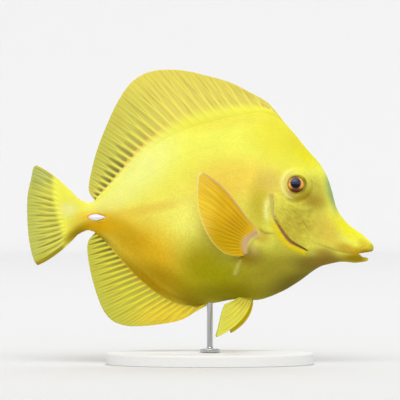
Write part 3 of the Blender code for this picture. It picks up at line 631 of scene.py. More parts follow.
# name, x, z, radii, tilt, colour, amount
PATCHES = [
    ("warm flank", -8, 76, 62, 26, 8, (247, 232, 98), 0.75),
    ("nape", 40, 114, 30, 20, -42, (240, 229, 60), 0.9),
    ("crest", 12, 121, 34, 6, 8, (238, 226, 78), 0.75),
    ("shoulder gold", 20, 93, 34, 16, -6, (250, 216, 84), 0.85),
    ("behind the eye", 34, 91, 11, 10, 0, (226, 196, 92), 0.7),
    # painted shade in the hollow behind the gill cover
    ("hollow behind the gill", 29, 79, 9, 18, 0, (198, 176, 44), 0.8),
    # painted highlight on the upper rear flank
    ("painted highlight on the rear flank", -30, 98, 34, 17, 42, (247, 247, 134), 0.95),
    ("pale tail root", -46, 80, 18, 7, 24, (248, 247, 132), 0.85),
    # the lower flank's own gold, deepened by painted shade towards the belly, before the anal fin and in the
    # groove along its root
    ("gold and painted shade on the lower flank", -26, 56, 44, 22, -36, (230, 181, 28), 0.95),
    ("deeper gold with painted shade", -38, 66, 24, 9, -34, (212, 164, 20), 0.8),
    ("gold and painted shade at the belly's edge", -14, 41, 30, 10, -28, (172, 134, 0), 0.85),
    ("front of the anal fin", -3, 31, 15, 6, -20, (146, 116, 0), 0.85),
    ("anal sheath", -27, 42, 34, 6.5, -38, (196, 154, 12), 0.9),
    ("spine streak", -27, 77.5, 27, 4.2, 12, (236, 194, 70), 0.6),
    # painted light where the pectoral fin's shadow falls on the flank
    ("painted light in the pectoral fin's shadow", -5, 74, 13, 13, 10, (254, 250, 116), 0.95),
    # painted shade under the pectoral fin and its root, and on the belly and breast
    ("painted shade under the pectoral fin", 1, 50, 20, 21, 10, (170, 150, 0), 0.9),
    ("painted shade on the belly", 16, 43, 34, 18, -2, (164, 156, 0), 0.95),
    ("breast", 36, 47, 27, 20, 26, (164, 150, 38), 0.95),
    ("under the fin's root", 24, 54.5, 12, 8, 0, (140, 112, 10), 0.9),
    ("before the fin's root", 31, 64, 6, 6, 0, (204, 170, 66), 0.75),
    # painted shade on the lower belly and the throat
    ("painted shade on the lower belly", 14, 35, 36, 9, -1, (136, 122, 0), 0.85),
    ("throat", 47, 41, 26, 10, 28, (108, 92, 24), 0.9),
    ("cheek", 47, 70, 18, 18, 0, (206, 185, 60), 0.85),
    ("before the eye", 57, 85, 12, 15, 10, (190, 174, 62), 0.85),
    # painted shade in front of and below the eye
    ("eye corner", 56, 82, 10, 5.5, -20, (172, 142, 44), 0.8),
    ("jowl ochre", 63, 67, 11, 16, 24, (226, 196, 74), 0.8),
    # painted shade under the jaw
    ("under the jaw", 55, 50.5, 17, 8, -8, (128, 106, 34), 0.9),
    ("jaw shade", 62, 55.6, 10, 4.4, -10, (166, 134, 52), 0.85),
    ("jaw", 73, 58, 9, 4, -16, (206, 160, 38), 0.85),
    # painted shade on the chin
    ("chin", 65, 52, 15, 4.6, -3, (142, 110, 38), 0.9),
    ("snout top", 74, 68, 15, 6, -42, (246, 238, 40), 0.9),
    ("brow", 54, 106, 13, 10, -48, (240, 232, 34), 0.85),
    ("nape gold", 48, 110, 10, 4, -50, (232, 212, 54), 0.4),
    ("forehead edge", 65.5, 86, 3.8, 15, 16, (152, 180, 106), 0.9),
    ("tail bright", -64, 79, 11, 11, 0, (243, 236, 84), 0.85),
    ("tail cream", -66, 77.5, 7, 6, 0, (246, 244, 148), 0.85),
    ("tail gold", -53, 68.5, 18, 8.6, 8, (228, 174, 0), 0.95),
    ("tail orange", -55, 74, 11, 4.0, 0, (248, 208, 66), 0.85),
    # painted shade along the lower edges of the tail and the peduncle
    ("tail's lower edge", -63, 64.5, 12, 4.6, 38, (156, 130, 0), 0.9),
    ("peduncle's lower edge", -50, 62.6, 9, 3.4, -30, (150, 124, 20), 0.8),
    ("upper lip", 82.5, 59.5, 6, 4.5, -35, (206, 184, 44), 0.85),
    ("lip tip", 86, 58.6, 3, 3, 20, (176, 172, 50), 0.8),
    ("mouth's corner", 78.8, 56.2, 5.5, 4, 0, (206, 164, 6), 0.85),
    # painted shade under the upper lip
    ("upper lip's lower side", 83, 56.2, 6.5, 2.9, -6, (160, 124, 0), 0.9),
    ("lower lip", 77.5, 53, 12, 4, -4, (164, 132, 0), 0.95),
]
print("patches of colour:", len(PATCHES))

# %% The group of patches and painted shade
def new_tree(kind, name, inputs, outputs):
    """An empty tree of nodes with named sockets, what it is given, and what it hands on."""
    tree = bpy.data.node_groups.new(name, kind)
    for way, sockets in (("INPUT", inputs), ("OUTPUT", outputs)):
        for socket, holds, *value in sockets:
            made = tree.interface.new_socket(socket, in_out=way, socket_type="NodeSocket" + holds)
            if value:
                made.default_value = value[0]
    return tree, add(tree, "NodeGroupInput").outputs, add(tree, "NodeGroupOutput").inputs


def use_group(tree, group, inputs=None):
    return add(tree, "ShaderNodeGroup", inputs, node_tree=group)


markings_and_shade, _, markings_end = new_tree("ShaderNodeTree", "Tang markings", [], [("Color", "Color")])
place = own_place(markings_and_shade)
shade = LEMON
for _, *oval, tint, amount in PATCHES:
    shade = patched(markings_and_shade, place, shade, oval, tint, amount)
cloud = math_node(markings_and_shade, "MULTIPLY_ADD", grain(markings_and_shade, place, 90.0, 3.0), 0.16, 0.92)
shade = mix(markings_and_shade, 1.0, shade, cloud, "MULTIPLY")
markings_and_shade.links.new(shade, markings_end[0])
print("markings group:", len(markings_and_shade.nodes), "nodes")

# %% [markdown]
# ## Skin and scale materials
#
# Museum fish are painted nearly matt, with only a thin clear layer, so that a bright room
# doesn't wash their yellow out. A little light travels under the surface, which keeps the
# shadows warm. The marks left by the folds tint the slit, the root of the pectoral fin and the
# rings round the eye, and darken the creases, wrinkles, nostrils, mouth and the eye's opening
# as painted shade. Fine grain breaks the gloss up.

# %% Skin materials
# The tints for the cheek's wrinkles, the groove along the anal fin, the creases, the skin below the eye, the
# eye's opening, the nostrils, the gill cover's edge over the slit and the mouth are painted shade.
FOLD_TINTS = [
    ("wrinkle", (164, 142, 44), 0.62),
    ("sheath", (166, 124, 0), 0.5),
    ("bright", (244, 214, 0), 0.9),
    ("pale", (250, 247, 140), 0.95),
    ("pad", (206, 186, 100), 0.6),
    ("mauve", (216, 178, 132), 0.95),
    ("crease", (140, 104, 40), 0.6),
    ("eye_shade", (168, 132, 2), 0.85),
    ("eye_tan", (222, 186, 128), 0.75),
    ("eye_glow", (248, 243, 150), 0.9),
    ("eye_ring", (104, 84, 12), 0.9),
    ("pit", (150, 128, 40), 0.7),
    ("groove", (214, 164, 36), 0.6),
    ("veil", (204, 182, 110), 0.75),
    ("slit", (176, 126, 84), 0.95),
    ("slit_edge", (122, 74, 28), 0.75),
    ("inside", (150, 110, 10), 0.8),
]


def mark(tree, name):
    return add(tree, "ShaderNodeAttribute", attribute_name=name).outputs["Fac"]


def new_material(name, roughness, **settings):
    """A material, its tree and its Principled shader with a few sockets set."""
    made = bpy.data.materials.new(name)
    made.use_nodes = True
    shader = made.node_tree.nodes["Principled BSDF"]
    for socket, value in {"Roughness": roughness, **settings}.items():
        shader.inputs[socket.replace("_", " ")].default_value = value
    return made, made.node_tree, shader


def painted(tree, shader, shade, height=None, strength=0.0, distance=0.0):
    """Gives the shader its colour and, if it has one, a relief of this many mm."""
    tree.links.new(shade, shader.inputs["Base Color"])
    if height is not None:
        relief = {"Height": height, "Strength": strength, "Distance": distance * MM}
        tree.links.new(add(tree, "ShaderNodeBump", relief).outputs[0], shader.inputs["Normal"])


FLESH = dict(
    Subsurface_Weight=0.12, Subsurface_Radius=(1.0, 0.62, 0.16), Subsurface_Scale=1.2 * MM,
    Coat_Weight=0.01, Coat_Roughness=0.25, Specular_IOR_Level=0.04,
)
SCALE_CONTRAST = 0.05  # how much lighter or darker single scales are
GROOVE_SHADE = 0.08  # how much darker a scale is towards its two sides


def skin_material(name, roughness, grain_scale, grain_depth):
    made, tree, shader = new_material(name, roughness, **FLESH)
    shade = use_group(tree, markings_and_shade).outputs[0]
    for tint_name, tint, amount in FOLD_TINTS:
        share = math_node(tree, "MULTIPLY", mark(tree, tint_name), amount, clamp=True)
        shade = mix(tree, share, shade, tint)
    leaf = add(tree, "ShaderNodeAttribute", attribute_name="leaf").outputs["Vector"]
    aside = math_node(tree, "ABSOLUTE", add(tree, "ShaderNodeSeparateXYZ", {0: leaf}).outputs[1])
    tone = math_node(tree, "MULTIPLY_ADD", mark(tree, "tone"), SCALE_CONTRAST, 1.0)
    tone = math_node(tree, "SUBTRACT", tone, faded(tree, aside, 0.2, 0.5, GROOVE_SHADE))
    shade = mix(tree, 1.0, shade, tone, "MULTIPLY")
    painted(tree, shader, shade, grain(tree, own_place(tree), grain_scale), 0.35, grain_depth)
    return made


skin_look = skin_material("tang_skin", 0.44, 1500.0, 0.1)
scale_look = skin_material("tang_scales", 0.42, 2500.0, 0.03)

# %% Place the skin
def on_frame(piece, look, slot, *nodes):
    """The piece takes its material, rides on the one body and stands for these solids."""
    if look:
        piece.data.materials.append(look)
    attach(piece, "root")
    if nodes:
        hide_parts(*nodes)


FLESH_NODES = "head", "lower_jaw", "torso", "tail_peduncle", "gill_cover_left", "gill_cover_right"
on_frame(skin, skin_look, "skin", *FLESH_NODES)
print("materials:", [made.name for made in bpy.data.materials if made.users])

# %% [markdown]
# ## Scales
#
# A tang's scales are tiny and rough, like fine sandpaper, and lie in rows that run along the
# flank. Real scales are thousands of overlapping plates, so here too each is a small solid
# plate, its root sunk in the skin and its free edge pointing back. Points for them are set in
# staggered rows on the skin, and a Geometry Nodes tree puts a plate on each point, turned to
# the skin and along the body. Each plate keeps its root's place on a flattened map of the skin.
# The folds' marks are then read at every corner of every plate, so colours run on across them.

# %% Points for the scales
FLANK_ROW, FLANK_STEP = 1.0, 0.94  # mm between rows of scales, and along a row
HEAD_ROW, HEAD_STEP = 0.7, 0.68
ROW_WAVE, ROW_WAVE_LENGTH = 0.45, 9.0  # how far a row strays up and down, and over what length
COAT_START, HEAD_FROM, COAT_END = 1.2, 15.3, 25.4  # stations: the head's scales are finer
BARE_MARKS = ("slit", "slit_edge", "pit", "inside", "mauve")
rng = np.random.default_rng(7)

lengths_along = mean_steps(on_curve(OUTLINE, along[:, 0]))
travel = summed(lengths_along)
skin_normal = grid_normals(skin_points)
skin_normal *= np.sign(np.sum(skin_normal * outward, axis=-1, keepdims=True))
side_x, side_z = bare[..., 0], bare[..., 2]
no_scales = np.maximum.reduce([marks[name] for name in BARE_MARKS])
no_scales = np.maximum(no_scales, np.hypot(side_x - EYE[0], side_z - EYE[1]) < EYE_OPENING + 0.6)
no_scales = np.maximum(no_scales, from_tail_spine(side_x, side_z) < 1.1)


def sampled(grid, rows, columns):
    """Values of a grid at places between its points."""
    rows = np.clip(rows, 0, grid.shape[0] - 1.001)
    columns = np.clip(columns, 0, grid.shape[1] - 1.001)
    row, column = rows.astype(int), columns.astype(int)
    down, across = rows - row, columns - column
    near = grid[row, column] * (1 - across) + grid[row, column + 1] * across
    far = grid[row + 1, column] * (1 - across) + grid[row + 1, column + 1] * across
    return near * (1 - down) + far * down


def half_of(side):
    """The grid's columns on one side, from the belly to the back."""
    columns = np.flatnonzero(np.sign(np.cos(around[0])) * side > 0)
    return columns[np.argsort(np.sin(around[0][columns]))]


def scale_points(side, start, end, row_gap, step):
    """Roots, normals, leans and flat places of one side's scales, and their places in the grid.

    A place in the grid is its row, its column, how many mm a row and a column are there, and how
    much wider than the mean the rows are spaced at that scale.
    """
    half = half_of(side)
    first, last = np.searchsorted(along[:, 0], [start, end])
    found = []
    for goal in np.arange(travel[first], travel[last], step):
        place = np.interp(goal, travel, np.arange(len(travel)))
        row = int(place)
        share = place - row
        line = skin_points[row, half] * (1 - share) + skin_points[row + 1, half] * share
        lengths = travelled(line)
        middle = np.interp(0, np.sin(around[0][half]), lengths)
        count = int(lengths[-1] / row_gap) + 2
        rows = np.arange(-count, count)
        wander = grain_of(np.full(len(rows), goal / ROW_WAVE_LENGTH), rows * 0.21, 1.0, 5 + side)
        heights = middle + rows * row_gap + ROW_WAVE * wander
        heights = heights[(heights > 0.5) & (heights < lengths[-1] - 0.5)]
        heights = heights + rng.normal(0, row_gap * 0.09, len(heights))
        at = np.interp(heights, lengths, np.arange(len(half)))
        tall = np.diff(lengths)[np.clip(at.astype(int), 0, len(half) - 2)]
        long = lengths_along[row]
        reach = [place - shift * step / long for shift in (-0.6, 0, 0.6)]  # root, middle and tip
        bareness = [sampled(no_scales[:, half], spot, at) for spot in reach]
        good = np.maximum.reduce(bareness) < 0.35
        near = half[np.clip(at.round().astype(int), 0, len(half) - 1)]
        root = joined(*(np.interp(heights, lengths, axis) for axis in line.T))
        lean = unit(skin_points[max(row - 2, 0), near] - skin_points[row + 2, near])
        flat = joined(goal, heights - middle)
        gap = np.linalg.norm(skin_points[row + 1, near] - skin_points[row, near], axis=-1) / long
        spot = joined(place, at, long, tall, gap)
        found.append([each[good] for each in (root, skin_normal[row, near], lean, flat, spot)])
    return [np.concatenate(each) for each in zip(*found)]


# %% The tree that lays the scales
def vector_attribute(mesh, name, values):
    mesh.attributes.new(name, "FLOAT_VECTOR", "POINT").data.foreach_set("vector", np.ravel(values))


def scale_shape():
    """One thin plate that shows about 1 by 1 of itself, its root end sunk under the last one."""
    rim = [(-0.74, 0, -0.03), (-0.55, 0.5, -0.02), (0.08, 0.6, 0.015), (0.42, 0.46, 0.04)]
    rim += [(0.58, 0, 0.055)] + [(x, -y, z) for x, y, z in reversed(rim[1:])]
    points = rim + [(0.3, 0, 0.09), (0, 0, -0.12)]
    count = len(rim)
    faces = [(k, (k + 1) % count, count) for k in range(count)]
    faces += [((k + 1) % count, k, count + 1) for k in range(count)]
    mesh = bpy.data.meshes.new("scale_shape")
    mesh.from_pydata(points, [], faces)
    vector_attribute(mesh, "leaf", [(x, y, 0) for x, y, _ in points])
    mesh.shade_smooth()
    for edge in mesh.edges:  # a sharp rim keeps the top's shading from the underside's
        edge.use_edge_sharp = max(edge.vertices) < count
    return outward_faces(in_scene("scale_shape", mesh))


def scale_tree():
    """Geometry Nodes: a plate on each point, turned to the skin and to the body's length."""
    inputs = [
        ("Geometry", "Geometry"), ("Scale Shape", "Object"), ("Length", "Float", 1.0),
        ("Width", "Float", 1.0), ("Patch Size", "Float", 0.003), ("Seed", "Int", 3),
        ("Material", "Material"),
    ]
    tree, given, end = new_tree("GeometryNodeTree", "Lay scales", inputs, [("Geometry", "Geometry")])

    def node(kind, inputs, output=0, **settings):
        return add(tree, kind, inputs, **settings).outputs[output]

    def named(name):
        return node("GeometryNodeInputNamedAttribute", {"Name": name}, data_type="FLOAT_VECTOR")

    def vector(operation, inputs):
        return node("ShaderNodeVectorMath", inputs, operation=operation)

    align = "FunctionNodeAlignRotationToVector"
    up = node(align, {"Vector": named("normal_out")}, axis="Z")
    turned = node(align, {"Rotation": up, "Vector": named("lean")}, axis="X", pivot_axis="Z")
    least, most = (-0.03, -0.03, -0.09), (0.03, 0.03, 0.09)
    roll = node(
        "FunctionNodeRandomValue", {0: least, 1: most, "Seed": given["Seed"]}, data_type="FLOAT_VECTOR"
    )
    spin = node("FunctionNodeEulerToRotation", {0: roll})
    aim = node("FunctionNodeRotateRotation", {0: turned, 1: spin}, rotation_space="LOCAL")
    vary = node(
        "FunctionNodeRandomValue", {2: 0.94, 3: 1.08, "Seed": given["Seed"]}, 1, data_type="FLOAT"
    )
    size = node("ShaderNodeCombineXYZ", {"X": given["Length"], "Y": given["Width"], "Z": given["Width"]})
    sized = vector("MULTIPLY", {0: vector("SCALE", {0: size, "Scale": vary}), 1: named("size")})
    shape = node("GeometryNodeObjectInfo", {"Object": given["Scale Shape"], "As Instance": True}, "Geometry")
    plates = {"Points": given["Geometry"], "Instance": shape, "Rotation": aim, "Scale": sized}
    real = node("GeometryNodeRealizeInstances", {0: node("GeometryNodeInstanceOnPoints", plates)})
    patch = vector("SCALE", {0: named("leaf"), "Scale": given["Patch Size"]})
    flat = vector("ADD", {0: named("root_flat"), 1: patch})
    mapped = node(
        "GeometryNodeStoreNamedAttribute", {"Geometry": real, "Name": "OFBake", "Value": flat},
        data_type="FLOAT2", domain="CORNER",
    )
    dressed = node("GeometryNodeSetMaterial", {"Geometry": mapped, "Material": given["Material"]})
    tree.links.new(dressed, end[0])
    return tree


def run_tree(made, tree, **values):
    """Runs a tree on an object and leaves the result as its plain mesh."""
    modifier = made.modifiers.new(tree.name, "NODES")
    modifier.node_group = tree
    for item in tree.interface.items_tree:
        if item.in_out == "INPUT" and item.name.replace(" ", "_") in values:
            modifier[item.identifier] = values[item.name.replace(" ", "_")]
    bpy.context.view_layer.update()
    graph = bpy.context.evaluated_depsgraph_get()
    mesh = bpy.data.meshes.new_from_object(made.evaluated_get(graph))
    made.modifiers.clear()
    made.data = mesh
    return made


# %% Lay the scales
plate = scale_shape()
lay_scales = scale_tree()
COATS = [
    ("flank", COAT_START, HEAD_FROM, FLANK_ROW, FLANK_STEP),
    ("head", HEAD_FROM, COAT_END, HEAD_ROW, HEAD_STEP),
]
OVERLAP = (1.04, 1.06)  # how much longer and wider a plate is than its place in the rows
BACK_RELIEF = (72, 96), (1.0, 0.45)  # height in mm and relief: the rear back is smoother
CROWN_RELIEF = (86, 102)  # heights in mm between which half the head's relief fades
HEAD_RELIEF, TAIL_RELIEF = (28, 40), (-68, -50)  # x in mm where the relief grows, towards the head
LIP_RELIEF = (24.2, 25.4)  # stations where it fades out again, because the lips are smooth


def scale_relief(x, z, station):
    """How far a scale stands out of the skin at each root, from 0 to 1."""
    relief = np.interp(z - 0.35 * x, *BACK_RELIEF)
    head = soft_step(*HEAD_RELIEF, x) * (1 - 0.5 * soft_step(*CROWN_RELIEF, z))
    relief = np.maximum(relief, head) * (0.15 + 0.85 * soft_step(*TAIL_RELIEF, x))
    return relief * (1 - 0.8 * soft_step(*LIP_RELIEF, station))


def scale_coat(name, side, start, end, row_gap, step):
    roots, normals, leans, flat, spots = scale_points(side, start, end, row_gap, step)
    low, high = flat.min(axis=0), flat.max(axis=0)
    root_flat = np.pad(0.01 + 0.98 * (flat - low) / (high - low), ((0, 0), (0, 1)))
    station = np.interp(spots[:, 0], np.arange(len(along)), along[:, 0])
    relief = scale_relief(roots[:, 0], roots[:, 2], station)
    sizes = np.full((len(roots), 3), MM) * rng.uniform(0.92, 1.08, (len(roots), 1))
    sizes[:, 0] *= np.clip(spots[:, 4], 0.5, 1.6)
    sizes[:, 2] *= relief
    coat = mesh_object(name, roots, [], {"tone": rng.uniform(-1, 1, len(roots)) * relief})
    vectors = {"normal_out": normals, "lean": leans, "root_flat": root_flat, "size": sizes}
    for vector_name, values in vectors.items():
        vector_attribute(coat.data, vector_name, values)
    length, width = step * OVERLAP[0], row_gap * OVERLAP[1]
    run_tree(
        coat, lay_scales, Scale_Shape=plate, Length=length, Width=width, Patch_Size=0.003,
        Seed=5 + side, Material=scale_look,
    )
    leaf = np.empty(len(coat.data.vertices) * 3)
    coat.data.attributes["leaf"].data.foreach_get("vector", leaf)
    leaf = leaf.reshape(-1, 3)
    row, column, long, tall, _ = np.repeat(spots, len(leaf) // len(roots), axis=0).T
    place = row - leaf[:, 0] * length / long, column + side * leaf[:, 1] * width / tall
    for mark_name, values in marks.items():
        put_numbers(coat.data, mark_name, sampled(values[:, half_of(side)], *place))
    on_frame(coat, None, "skin")  # the tree has set its material
    print(name, len(roots), "scales,", len(coat.data.polygons), "faces")


for coat_name, start, end, row_gap, step in COATS:
    for side_name, side in SIDES:
        scale_coat(f"scales_{coat_name}_{side_name}", side, start, end, row_gap, step)
bpy.data.objects.remove(plate)

# %% [markdown]
# ## Fins
#
# Each fin is one thin closed blade: a grid stretched from its root to its margin, thicker over
# every ray. A soft ray splits in two half way out and again near the margin, and the blade's
# edge is nicked between the rays. The spines in front don't split. The grid also gives each
# blade a flat map, ray by ray, for the dark streaks between the rays.

# %% Blade of a fin
RAY_WIDTH, BRANCH_WIDTH = 0.24, 0.13  # as shares of the space between rays
FIRST_SPLIT, SECOND_SPLIT = 0.22, 0.09
MEMBRANE = 0.13  # half thickness in mm
ROOT_SINK = 1.8  # mm that a fin starts inside the body
STEPS_BETWEEN_RAYS = 14
RAYS = {"dorsal": 29, "anal": 24, "caudal": 16, "pectoral": 15, "pelvic": 6}


def ray_relief(u, out, rays, spines):
    """0 on the membrane and up to 1 on a ray, and how far each point is between rays."""
    count = u * (rays - 1)
    nearest = np.round(count)
    aside = np.abs(count - nearest)
    soft = nearest >= spines
    first = FIRST_SPLIT * soft_step(0.2, 0.8, out) * soft
    second = SECOND_SPLIT * soft_step(0.55, 1.0, out) * soft
    off = np.abs(np.abs(aside - first) - second)
    width = RAY_WIDTH + (BRANCH_WIDTH - RAY_WIDTH) * soft_step(0.2, 0.6, out) * soft
    return np.sqrt(np.clip(1 - (off / width) ** 2, 0, 1)), aside


def fin_blade(
    name, place, rays, spines, rows, flesh, leaves, height=(0.3, 0.3), smooth_to=-0.05, nick=0.004
):
    """A closed blade. place(u, v) gives its middle surface, flesh(u, out) the extra thickness.

    u runs from the first ray to the last, and v from the root to the margin. leaves gives the v
    where each ray leaves the skin, and out is 0 there and 1 at the margin. height is the rays'
    relief in mm at the first ray and at the last, and it begins at out = smooth_to.
    """
    u, v = np.meshgrid(np.linspace(0, 1, (rays - 1) * STEPS_BETWEEN_RAYS + 1), rows, indexing="ij")
    start = leaves(u[:, 0])[:, None]
    out = (v - start) / (1 - start)
    relief, aside = ray_relief(u, out, rays, spines)
    middle = place(u, v * (1 - nick * (2 * aside) ** 2))
    normal = unit(np.cross(np.gradient(middle, axis=0), np.gradient(middle, axis=1)))
    tall = height[0] + (height[1] - height[0]) * u
    tall = tall * (1 - 0.75 * soft_step(0.1, 1, out)) * soft_step(smooth_to, smooth_to + 0.12, out)
    half = MEMBRANE * (1 - 0.45 * soft_step(0.8, 1, out)) + flesh(u, out) + tall * relief
    half *= 0.35 + 0.65 * soft_step(0, 0.5, u * (rays - 1))
    sheets = [middle + normal * half[..., None] * sign for sign in (1, -1)]
    index = np.arange(u.size).reshape(u.shape)
    front = joined(index[:-1, :-1], index[1:, :-1], index[1:, 1:], index[:-1, 1:]).reshape(-1, 4)
    back = front[:, ::-1] + u.size
    rim = np.concatenate([index[:-1, 0], index[-1, :-1], index[:0:-1, -1], index[0, :0:-1]])
    after = np.roll(rim, -1)
    sides = joined(rim, rim + u.size, after + u.size, after)
    points = np.concatenate([sheet.reshape(-1, 3) for sheet in sheets])
    made = mesh_object(name, points, np.concatenate([front, back, sides]).tolist())
    flat = np.tile(joined(u, out).reshape(-1, 2), (2, 1))
    layer = made.data.uv_layers.new(name="Rays")
    corners = np.empty(len(made.data.loops), int)
    made.data.loops.foreach_get("vertex_index", corners)
    layer.data.foreach_set("uv", flat[corners].ravel())
    outward_faces(made)
    print(name, len(made.data.polygons), "faces")
    return made


def sheath(out, height, reach):
    """Extra thickness at the root that thins out over this share of a ray."""
    return height * (1 - soft_step(-0.1, reach, out))


# %% [markdown]
# ## Dorsal and anal fins
#
# Both fins grow from the keels of the body, so their roots follow the back and belly lines, a
# little sunk. Their rays lean back: the root's place runs ahead of the margin's. On the real
# fish the rays also stand closer towards the tail, so the roots' spacing shrinks that way.

# %% Median fins
FIN_ROWS = np.linspace(0, 1, 54)
# Edge 0 is the back and edge 2 the belly. The root runs between two stations. Spacing and height
# are given at the first ray and at the last. A lean under 1 sweeps the rays back. Flesh is a
# thickness at the root, and the share of a ray over which it thins out.
MEDIAN_FINS = {
    "dorsal": dict(
        spines=5, edge=0, root=(11.45, 1.85), spacing=(1.3, 0.7), lean=0.78, ripple=0.16,
        height=(0.14, 0.3), flesh=(1.1, 0.28),
        margin_mm=[
            (42.1, 121.0), (38.1, 126.2), (33.1, 131.5), (24.1, 136.5), (15.1, 141.0), (3.1, 144.5),
            (-8.9, 147.1), (-20.1, 147.3), (-28.0, 145.4), (-35.2, 140.3), (-41.6, 130.8),
            (-47.0, 119.2), (-51.2, 108.5), (-53.9, 99.0), (-55.7, 90.0), (-55.4, 86.0), (-53.6, 83.2),
        ],
    ),
    "anal": dict(
        spines=3, edge=2, root=(7.9, 1.85), spacing=(1.05, 0.95), lean=0.6, ripple=0.14,
        height=(0.22, 0.32), flesh=(0.65, 0.16),
        margin_mm=[
            (3.1, 29.4), (-2.9, 26.0), (-7.4, 23.2), (-12.9, 21.3), (-20.9, 20.0), (-29.9, 19.2),
            (-37.1, 19.4), (-43.8, 21.8), (-48.4, 27.0), (-51.9, 35.5), (-54.8, 46.0), (-56.4, 56.0),
            (-56.0, 61.6), (-53.5, 64.8),
        ],
    ),
}


def keel_line(first, last, edge):
    """A function from 0..1 to a point of the keel at this edge, a little sunk."""
    row = on_curve(OUTLINE, BODY_START + np.linspace(first, last, 60))
    keel, other = row[:, edge : edge + 2], row[:, 2 - edge : 4 - edge]
    return evenly(keel + unit(other - keel) * ROOT_SINK, 2)


def spread(u, spacing):
    """Place of each ray along the root, for spacings at the first ray and at the last."""
    first, last = spacing
    return (first * u + (last - first) * u**2 / 2) / ((first + last) / 2)


def leaving(place, keel_mm):
    """A function from u to the v where that ray crosses the line of the keel."""
    u, v = np.meshgrid(np.linspace(0, 1, 120), np.linspace(0, 0.7, 140), indexing="ij")
    seen = place(u, v)[..., (0, 2)]
    gap = np.stack([np.linalg.norm(seen - point, axis=-1) for point in keel_mm]).min(axis=0)
    found = v[0, np.argmin(gap, axis=1)]
    found = np.convolve(np.pad(found, 6, "edge"), np.full(13, 1 / 13), "valid")
    return lambda share: np.interp(share, u[:, 0], found)


def median_fin(name, spines, edge, root, spacing, lean, ripple, height, flesh, margin_mm):
    """A fin on the back or the belly, rippled by so many mm at its margin."""
    base = keel_line(*root, edge)
    margin = evenly(margin_mm)

    def place(u, v):
        share = spread(u, spacing)
        foot = base(share)
        tip = margin(np.clip(share, 0, 1) ** lean)
        seen = foot + (tip - foot) * v[..., None]
        return in_space(seen, ripple * np.sin(u * 17 + v * 2.0) * v**1.5)

    keel = on_curve(OUTLINE, BODY_START + np.linspace(*root, 400))[:, edge : edge + 2]
    leaves = leaving(place, keel)
    return fin_blade(
        f"{name}_blade", place, RAYS[name], spines, FIN_ROWS, lambda u, out: sheath(out, *flesh),
        leaves, height,
    )


dorsal, anal = (median_fin(name, **given) for name, given in MEDIAN_FINS.items())

# %% [markdown]
# ## Tail fin
#
# The tail fin starts inside the sleeve of skin and spreads to an almost straight margin.

# %% Caudal fin
CAUDAL_ROOT = [(-61.2, 83.1), (-61.2, 65.0)]
CAUDAL_MARGIN = [
    (-81.8, 99.6), (-83.4, 98.5), (-84.6, 93.0), (-86.2, 85.5), (-86.6, 79.0), (-86.4, 70.7),
    (-85.7, 62.8), (-84.2, 55.5), (-82.7, 51.2), (-81.2, 49.6),
]
CAUDAL_BOW, CAUDAL_RIPPLE = 1.7, 0.2  # mm that the outer rays bow out, and that the margin waves
CAUDAL_FLESH = (0, 0.2, 0.5, 0.8, 1), (0.48, 0.42, 0.31, 0.22, 0.24)  # share of each ray in flesh


def caudal_blade():
    root, margin = np.array(CAUDAL_ROOT), evenly(CAUDAL_MARGIN)

    def place(u, v):
        foot = root[0] + (root[1] - root[0]) * u[..., None]
        seen = foot + (margin(u) - foot) * v[..., None]
        seen[..., 1] += 4 * v * (1 - v) * (1 - 2 * u) * CAUDAL_BOW
        return in_space(seen, CAUDAL_RIPPLE * np.sin(u * 11 + 1) * v**2)

    def flesh(u, out):
        round_section = np.clip(1 - (2 * u - 1) ** 2, 0, 1) ** 0.6
        return 1.7 * (1 - soft_step(-0.6, 0.06, out)) * round_section

    return fin_blade(
        "caudal_blade", place, RAYS["caudal"], 0, np.linspace(0, 1, 64), flesh,
        lambda u: np.interp(u, *CAUDAL_FLESH), (0.26, 0.26),
    )


caudal = caudal_blade()

# %% [markdown]
# ## Paired fins
#
# The pectoral fin is a fan on a fleshy root. It stands out from the flank, and its tip points
# up and back. The pelvic fins hang from the belly's keel, the left one held further forward.

# %% Pectoral and pelvic fins
PECTORAL_MARGIN = [
    (1.6, 95.5), (-0.9, 95.2), (-1.9, 91.0), (-2.0, 84.5), (-0.9, 76.5), (2.1, 68.0),
    (6.5, 60.8), (12.5, 55.7), (19.1, 54.2),
]
PECTORAL_SINK, PECTORAL_LIFT, PECTORAL_LIFT_REACH, PECTORAL_SPLAY = 1.3, 1.5, 3.0, 0.33
PECTORAL_BOW = (1.7, 1.5)  # how far the leading ray bows forward and up, in mm
PELVIC_BASE = [(26.3, 34.5), (20.4, 34.0)]
PELVIC_MARGIN = [(8.1, 14.3), (7.5, 15.2), (8.5, 18.2), (9.5, 22.2), (10.6, 26.6), (12.0, 30.2)]
PELVIC_ROOT_Y, PELVIC_BOW = 1.7, (3.1, -1.9)
# side: splay, swing in degrees, length
PELVIC_POSES = {"left": (0.95, 14, 0.82), "right": (0.45, 0, 1.0)}


def pectoral_blade(name, side):
    base, margin = evenly(PECTORAL_BASE), evenly(PECTORAL_MARGIN)

    def place(u, v):
        foot = base(u)
        bow = (6.75 * v**2 * (1 - v) * (1 - u) ** 3)[..., None] * np.array(PECTORAL_BOW)
        seen = foot + (margin(u) - foot) * v[..., None] + bow
        reach = np.linalg.norm(seen - foot, axis=-1)
        root_y = flank(*base(u[:, 0]).T)[:, None]
        lift = PECTORAL_LIFT * soft_step(0, PECTORAL_LIFT_REACH, reach)
        curl = -1.2 * (reach / 40) ** 2 * np.cos(u * 3.0)
        y = root_y - PECTORAL_SINK + lift + PECTORAL_SPLAY * reach + curl * v
        return in_space(seen, side * y)

    return fin_blade(
        name, place, RAYS["pectoral"], 0, np.linspace(0, 1, 56),
        lambda u, out: 1.1 * swell(out, 0.02, 0.07), lambda u: np.full(len(u), 0.05), (0.16, 0.2),
        smooth_to=0.08,
    )


